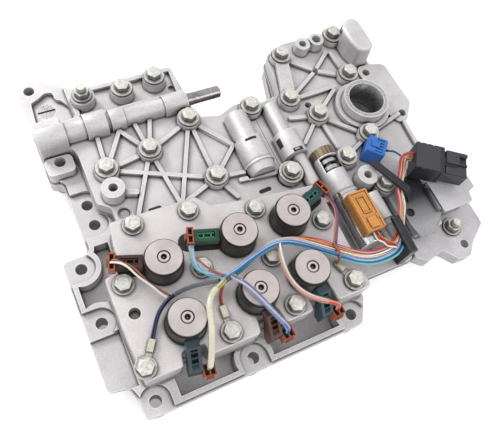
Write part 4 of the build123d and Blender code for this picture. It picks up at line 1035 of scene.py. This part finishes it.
def orange_frame():
    """Raised rails, recess and latch pad on the top of the line pressure connector."""
    low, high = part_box("pressure_connector")
    left, right, near, far, top = low.x / MM, high.x / MM, low.y / MM, high.y / MM, high.z / MM
    builder = Builder()

    def add(x, y, rise):
        builder.block((0.0, 0.0), 0.0, x, y, (top - 0.2, top + rise), ORANGE)

    for x in ((left + 0.3, left + 1.8), (right - 1.8, right - 0.3)):
        add(x, (near + 0.4, far - 0.4), 0.7)
    add((left + 1.8, right - 1.8), (far - 2.0, far - 0.4), 0.7)
    for x in ((left + 4.6, left + 5.6), (right - 5.6, right - 4.6)):
        add(x, (near + 14.0, far - 5.0), 0.9)
    for y in ((near + 14.0, near + 15.0), (far - 6.0, far - 5.0)):
        add((left + 5.6, right - 5.6), y, 0.9)
    add((left + 4.4, right - 4.4), (near + 2.0, near + 10.5), 1.0)
    for x in ((left + 1.8, left + 3.4), (right - 3.4, right - 1.8)):
        add(x, (near + 8.0, near + 12.0), 0.5)
    detail(builder, "orange_rails", "orange_plastic", bevel=0.2)


SENSOR_CENTRE, SENSOR_TURN = (95.0, -22.5), -42.0
CONNECTOR_CENTRE, CONNECTOR_TURN = (121.5, -51.0), -34.0


def blue_cover():
    """The smooth half of the blue connector, with its latch."""
    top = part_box("sensor_connector")[1].z / MM
    builder = Builder()
    cover = ((-7.4, -0.6), (-7.1, 7.1), (top - 1.6, top + 0.3))
    latch = ((-5.0, 2.0), (-2.6, 2.6), (top, top + 1.2))
    for ranges in (cover, latch):
        builder.block(SENSOR_CENTRE, SENSOR_TURN, *ranges, BLUE)
    detail(builder, "blue_smooth_half", "blue_plastic", bevel=0.35)


def connector_details():
    """Top panels, collar, latch and prongs of the main connector."""
    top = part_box("main_connector")[1].z / MM
    builder = Builder()

    def add(forward, sideways, height, material=BLACK):
        builder.block(CONNECTOR_CENTRE, CONNECTOR_TURN, forward, sideways, height, material)

    add((-10.6, 8.6), (-11.2, 11.2), (top - 1.4, top + 0.25), GREY_TOP)
    add((9.6, 12.4), (-12.2, 12.2), (top - 15.0, top - 0.4))
    add((13.6, 24.2), (-1.4, 10.0), (top - 2.6, top + 0.2), GREY_TOP)
    add((24.2, 30.8), (6.8, 10.0), (top - 2.6, top + 0.2), GREY_TOP)
    add((24.2, 30.8), (-1.4, 0.6), (top - 2.6, top - 0.4))
    add((13.6, 30.6), (-10.0, -1.4), (top - 2.6, top - 1.6), GREY_TOP)
    detail(builder, "connector_top", "black_plastic", bevel=0.35)


PORT = (111.0, 21.5)
PORT_TOP = 54.0
PORT_FLOOR = 29.0
BORE_R = 14.96


def port_faces():
    """The machined rim and the bright bored wall of the pick-up port."""
    builder = Builder()
    rim = [
        (18.4, PORT_TOP - 0.02),
        (18.2, PORT_TOP + 0.05),
        (15.4, PORT_TOP + 0.05),
        (BORE_R, PORT_TOP - 0.3),
        (BORE_R, PORT_FLOOR),
    ]
    builder.lathe(PORT, rim, GROUND, 64)
    # The lathe closes its far end, and the port is open there
    builder.faces.pop()
    builder.indices.pop()
    detail(builder, "port_faces", "machined_steel", smooth=True)


# Slots on the stepped cylinders, dark patches of painted shade and one retainer plate: axis (x, z),
# radius, degrees from the top, range along Y, material
CYLINDER_SLOTS = [
    ((2.5, 44.0), 11.56, (-29.0, 18.0), (15.8, 17.9), SHADE_BLACK),
    ((33.0, 44.0), 10.56, (-76.0, -50.0), (3.8, 11.8), SHADE_BLACK),
    ((33.0, 44.0), 10.56, (-20.0, 26.0), (-4.9, -1.6), SHADE_BLACK),
    ((33.0, 44.0), 10.62, (-12.0, 8.0), (-3.6, -2.2), GROUND),
]
# Painted shade in slots and holes in flat faces: centre, angle, length, width, level
FLAT_OPENINGS = [
    ((-1.0, -21.4), 2.0, 10.4, 3.4, 40.06),
    ((-84.5, -7.4), 0.0, 10.0, 3.4, 40.06),
    ((26.0, -36.1), 0.0, 4.4, 4.4, 40.06),
    ((95.0, -81.0), 0.0, 6.8, 6.8, 46.4),
]
# Range of the painted shade over the plate's opening along the arm of each of the first three solenoids
ARM_OPENINGS = [(8.0, 31.0), (8.0, 41.0), (8.0, 34.0)]
ARM_OPENING_WIDTH = 14.0
SKIN = 0.06


def opening_shade_patches():
    """Painted shade in slots and holes in the tops of the castings and in the plate's openings by the
    arms, with one retainer plate in a slot.
    """
    builder = Builder()
    for slot in CYLINDER_SLOTS:
        builder.saddle(*slot)
    for opening in FLAT_OPENINGS:
        builder.pad(*opening, SHADE_BLACK)
    level = PLATE_TOP / MM + SKIN
    for number, (near, far) in enumerate(ARM_OPENINGS):
        angle = ARM_ANGLES[number]
        centre = local(middle(SOLENOIDS[number]) / MM, angle, (near + far) / 2, 0.0, 0.0) / MM
        builder.pad(centre, angle, far - near, ARM_OPENING_WIDTH, level, SHADE_BLACK)
    detail(builder, "opening_shade_patches", "machined_steel")


# Joint that moves each spring's valve, Y of the spring's fixed end, and the valve's travel, in metres
SPRINGS = {
    "accumulator_spring": ("accumulator_slide", 0.002, 0.004),
    "relief_spring": ("relief_slide", 0.039, 0.003),
    "regulator_spring": ("regulator_slide", -0.009, 0.002),
}


def springs():
    """Copies of the springs that ride on the body in place of the CAD springs."""
    for node, (joint, fixed_y, travel) in SPRINGS.items():
        piece = bpy.data.objects.new(node + "_coil", nodes[node].data.copy())
        piece.matrix_world = nodes[node].matrix_world.copy()
        bpy.context.scene.collection.objects.link(piece)
        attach(piece, BODY)
        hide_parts(node)
        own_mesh(piece)


orange_frame()
blue_cover()
connector_details()
port_faces()
opening_shade_patches()
springs()


# Floor, light and camera
FLOOR_LIFT = 0.34
FLOOR_SIZE = 8.0
FLOOR_LEVEL = -0.0002
STUDIO_LIGHT = 0.86


def seen_rays(tree):
    """1 for rays from the camera, through something clear or off something glossy, and 0 for others."""
    rays = tree.nodes.new("ShaderNodeLightPath")
    seen = rays.outputs["Is Camera Ray"]
    for kind in ("Is Transmission Ray", "Is Glossy Ray"):
        either = tree.nodes.new("ShaderNodeMath")
        either.operation = "MAXIMUM"
        tree.links.new(seen, either.inputs[0])
        tree.links.new(rays.outputs[kind], either.inputs[1])
        seen = either.outputs[0]
    return seen


def floor_material():
    """Pale floor: seen directly or in a reflection it is nearly white, and it keeps the shadow."""
    graph = Graph("floor_white")
    graph.shader.inputs["Base Color"].default_value = (0.9, 0.9, 0.9, 1.0)
    graph.shader.inputs["Roughness"].default_value = 0.9
    graph.shader.inputs["Emission Color"].default_value = (1.0, 1.0, 1.0, 1.0)
    lift = graph.add("ShaderNodeMath", "MULTIPLY")
    lift.inputs[1].default_value = FLOOR_LIFT
    graph.tree.links.new(seen_rays(graph.tree), lift.inputs[0])
    graph.link(lift, 0, graph.shader, "Emission Strength")
    return graph.material


def stage_plane(name, size, height, material):
    """A level square that is scenery and no piece of the object."""
    mesh = bpy.data.meshes.new(name)
    half = size / 2
    corners = [
        (-half, -half, height),
        (half, -half, height),
        (half, half, height),
        (-half, half, height),
    ]
    mesh.from_pydata(corners, [], [(0, 1, 2, 3)])
    mesh.materials.append(material)
    plane = bpy.data.objects.new(name, mesh)
    bpy.context.scene.collection.objects.link(plane)


def background(tree, strength):
    """Plain white light from all round."""
    node = tree.nodes.new("ShaderNodeBackground")
    node.inputs["Color"].default_value = (1.0, 1.0, 1.0, 1.0)
    node.inputs["Strength"].default_value = strength
    return node.outputs[0]


def studio_world():
    """A white studio that lights the part a little less than it shows."""
    world = bpy.data.worlds.new("studio")
    bpy.context.scene.world = world
    world.use_nodes = True
    tree = world.node_tree
    tree.nodes.clear()
    output = tree.nodes.new("ShaderNodeOutputWorld")
    choice = tree.nodes.new("ShaderNodeMixShader")
    tree.links.new(seen_rays(tree), choice.inputs[0])
    tree.links.new(background(tree, STUDIO_LIGHT), choice.inputs[1])
    tree.links.new(background(tree, 1.0), choice.inputs[2])
    tree.links.new(choice.outputs[0], output.inputs[0])


stage_plane("floor", FLOOR_SIZE, FLOOR_LEVEL, floor_material())
studio_world()

LIT_POINT = (0.0, 0.0, 0.03)


def softbox(name, place, size, power):
    """A square area light that faces the middle of the part."""
    light = bpy.data.lights.new(name, "AREA")
    light.shape = "SQUARE"
    light.size = size
    light.energy = power
    holder = bpy.data.objects.new(name, light)
    away = Vector(place) - Vector(LIT_POINT)
    turn = away.to_track_quat("Z", "Y").to_matrix().to_4x4()
    holder.matrix_world = Matrix.Translation(place) @ turn
    bpy.context.scene.collection.objects.link(holder)


softbox("key", (-0.50, 0.90, 0.80), 0.40, 8.8)
softbox("front", (0.45, -0.85, 0.75), 0.6, 3.8)
softbox("side", (-0.95, -0.15, 0.75), 0.5, 2.2)

# Camera as solved from the photo: its place, its directions and its focal length
CAMERA_PLACE = Vector((-0.150, -0.1697, 0.413))
CAMERA_RIGHT = Vector((0.895, -0.413, 0.162))
CAMERA_BACK = Vector((-0.3103, -0.3227, 0.8917))
FOCAL_PIXELS = 560.0
IMAGE_WIDTH = 500.0


def place_camera():
    """The scene camera, where the photo was taken from."""
    across = CAMERA_RIGHT.normalized()
    back = (CAMERA_BACK - across * CAMERA_BACK.dot(across)).normalized()
    up = back.cross(across)
    camera = bpy.data.cameras.new("camera")
    camera.sensor_fit = "HORIZONTAL"
    camera.sensor_width = 36.0
    camera.lens = camera.sensor_width * FOCAL_PIXELS / IMAGE_WIDTH
    camera.clip_start = 0.01
    holder = bpy.data.objects.new("camera", camera)
    turn = Matrix((across, up, back)).transposed().to_4x4()
    holder.matrix_world = Matrix.Translation(CAMERA_PLACE) @ turn
    bpy.context.scene.collection.objects.link(holder)
    bpy.context.scene.camera = holder


place_camera()
bpy.context.scene.view_settings.view_transform = "Standard"

bpy.context.view_layer.update()
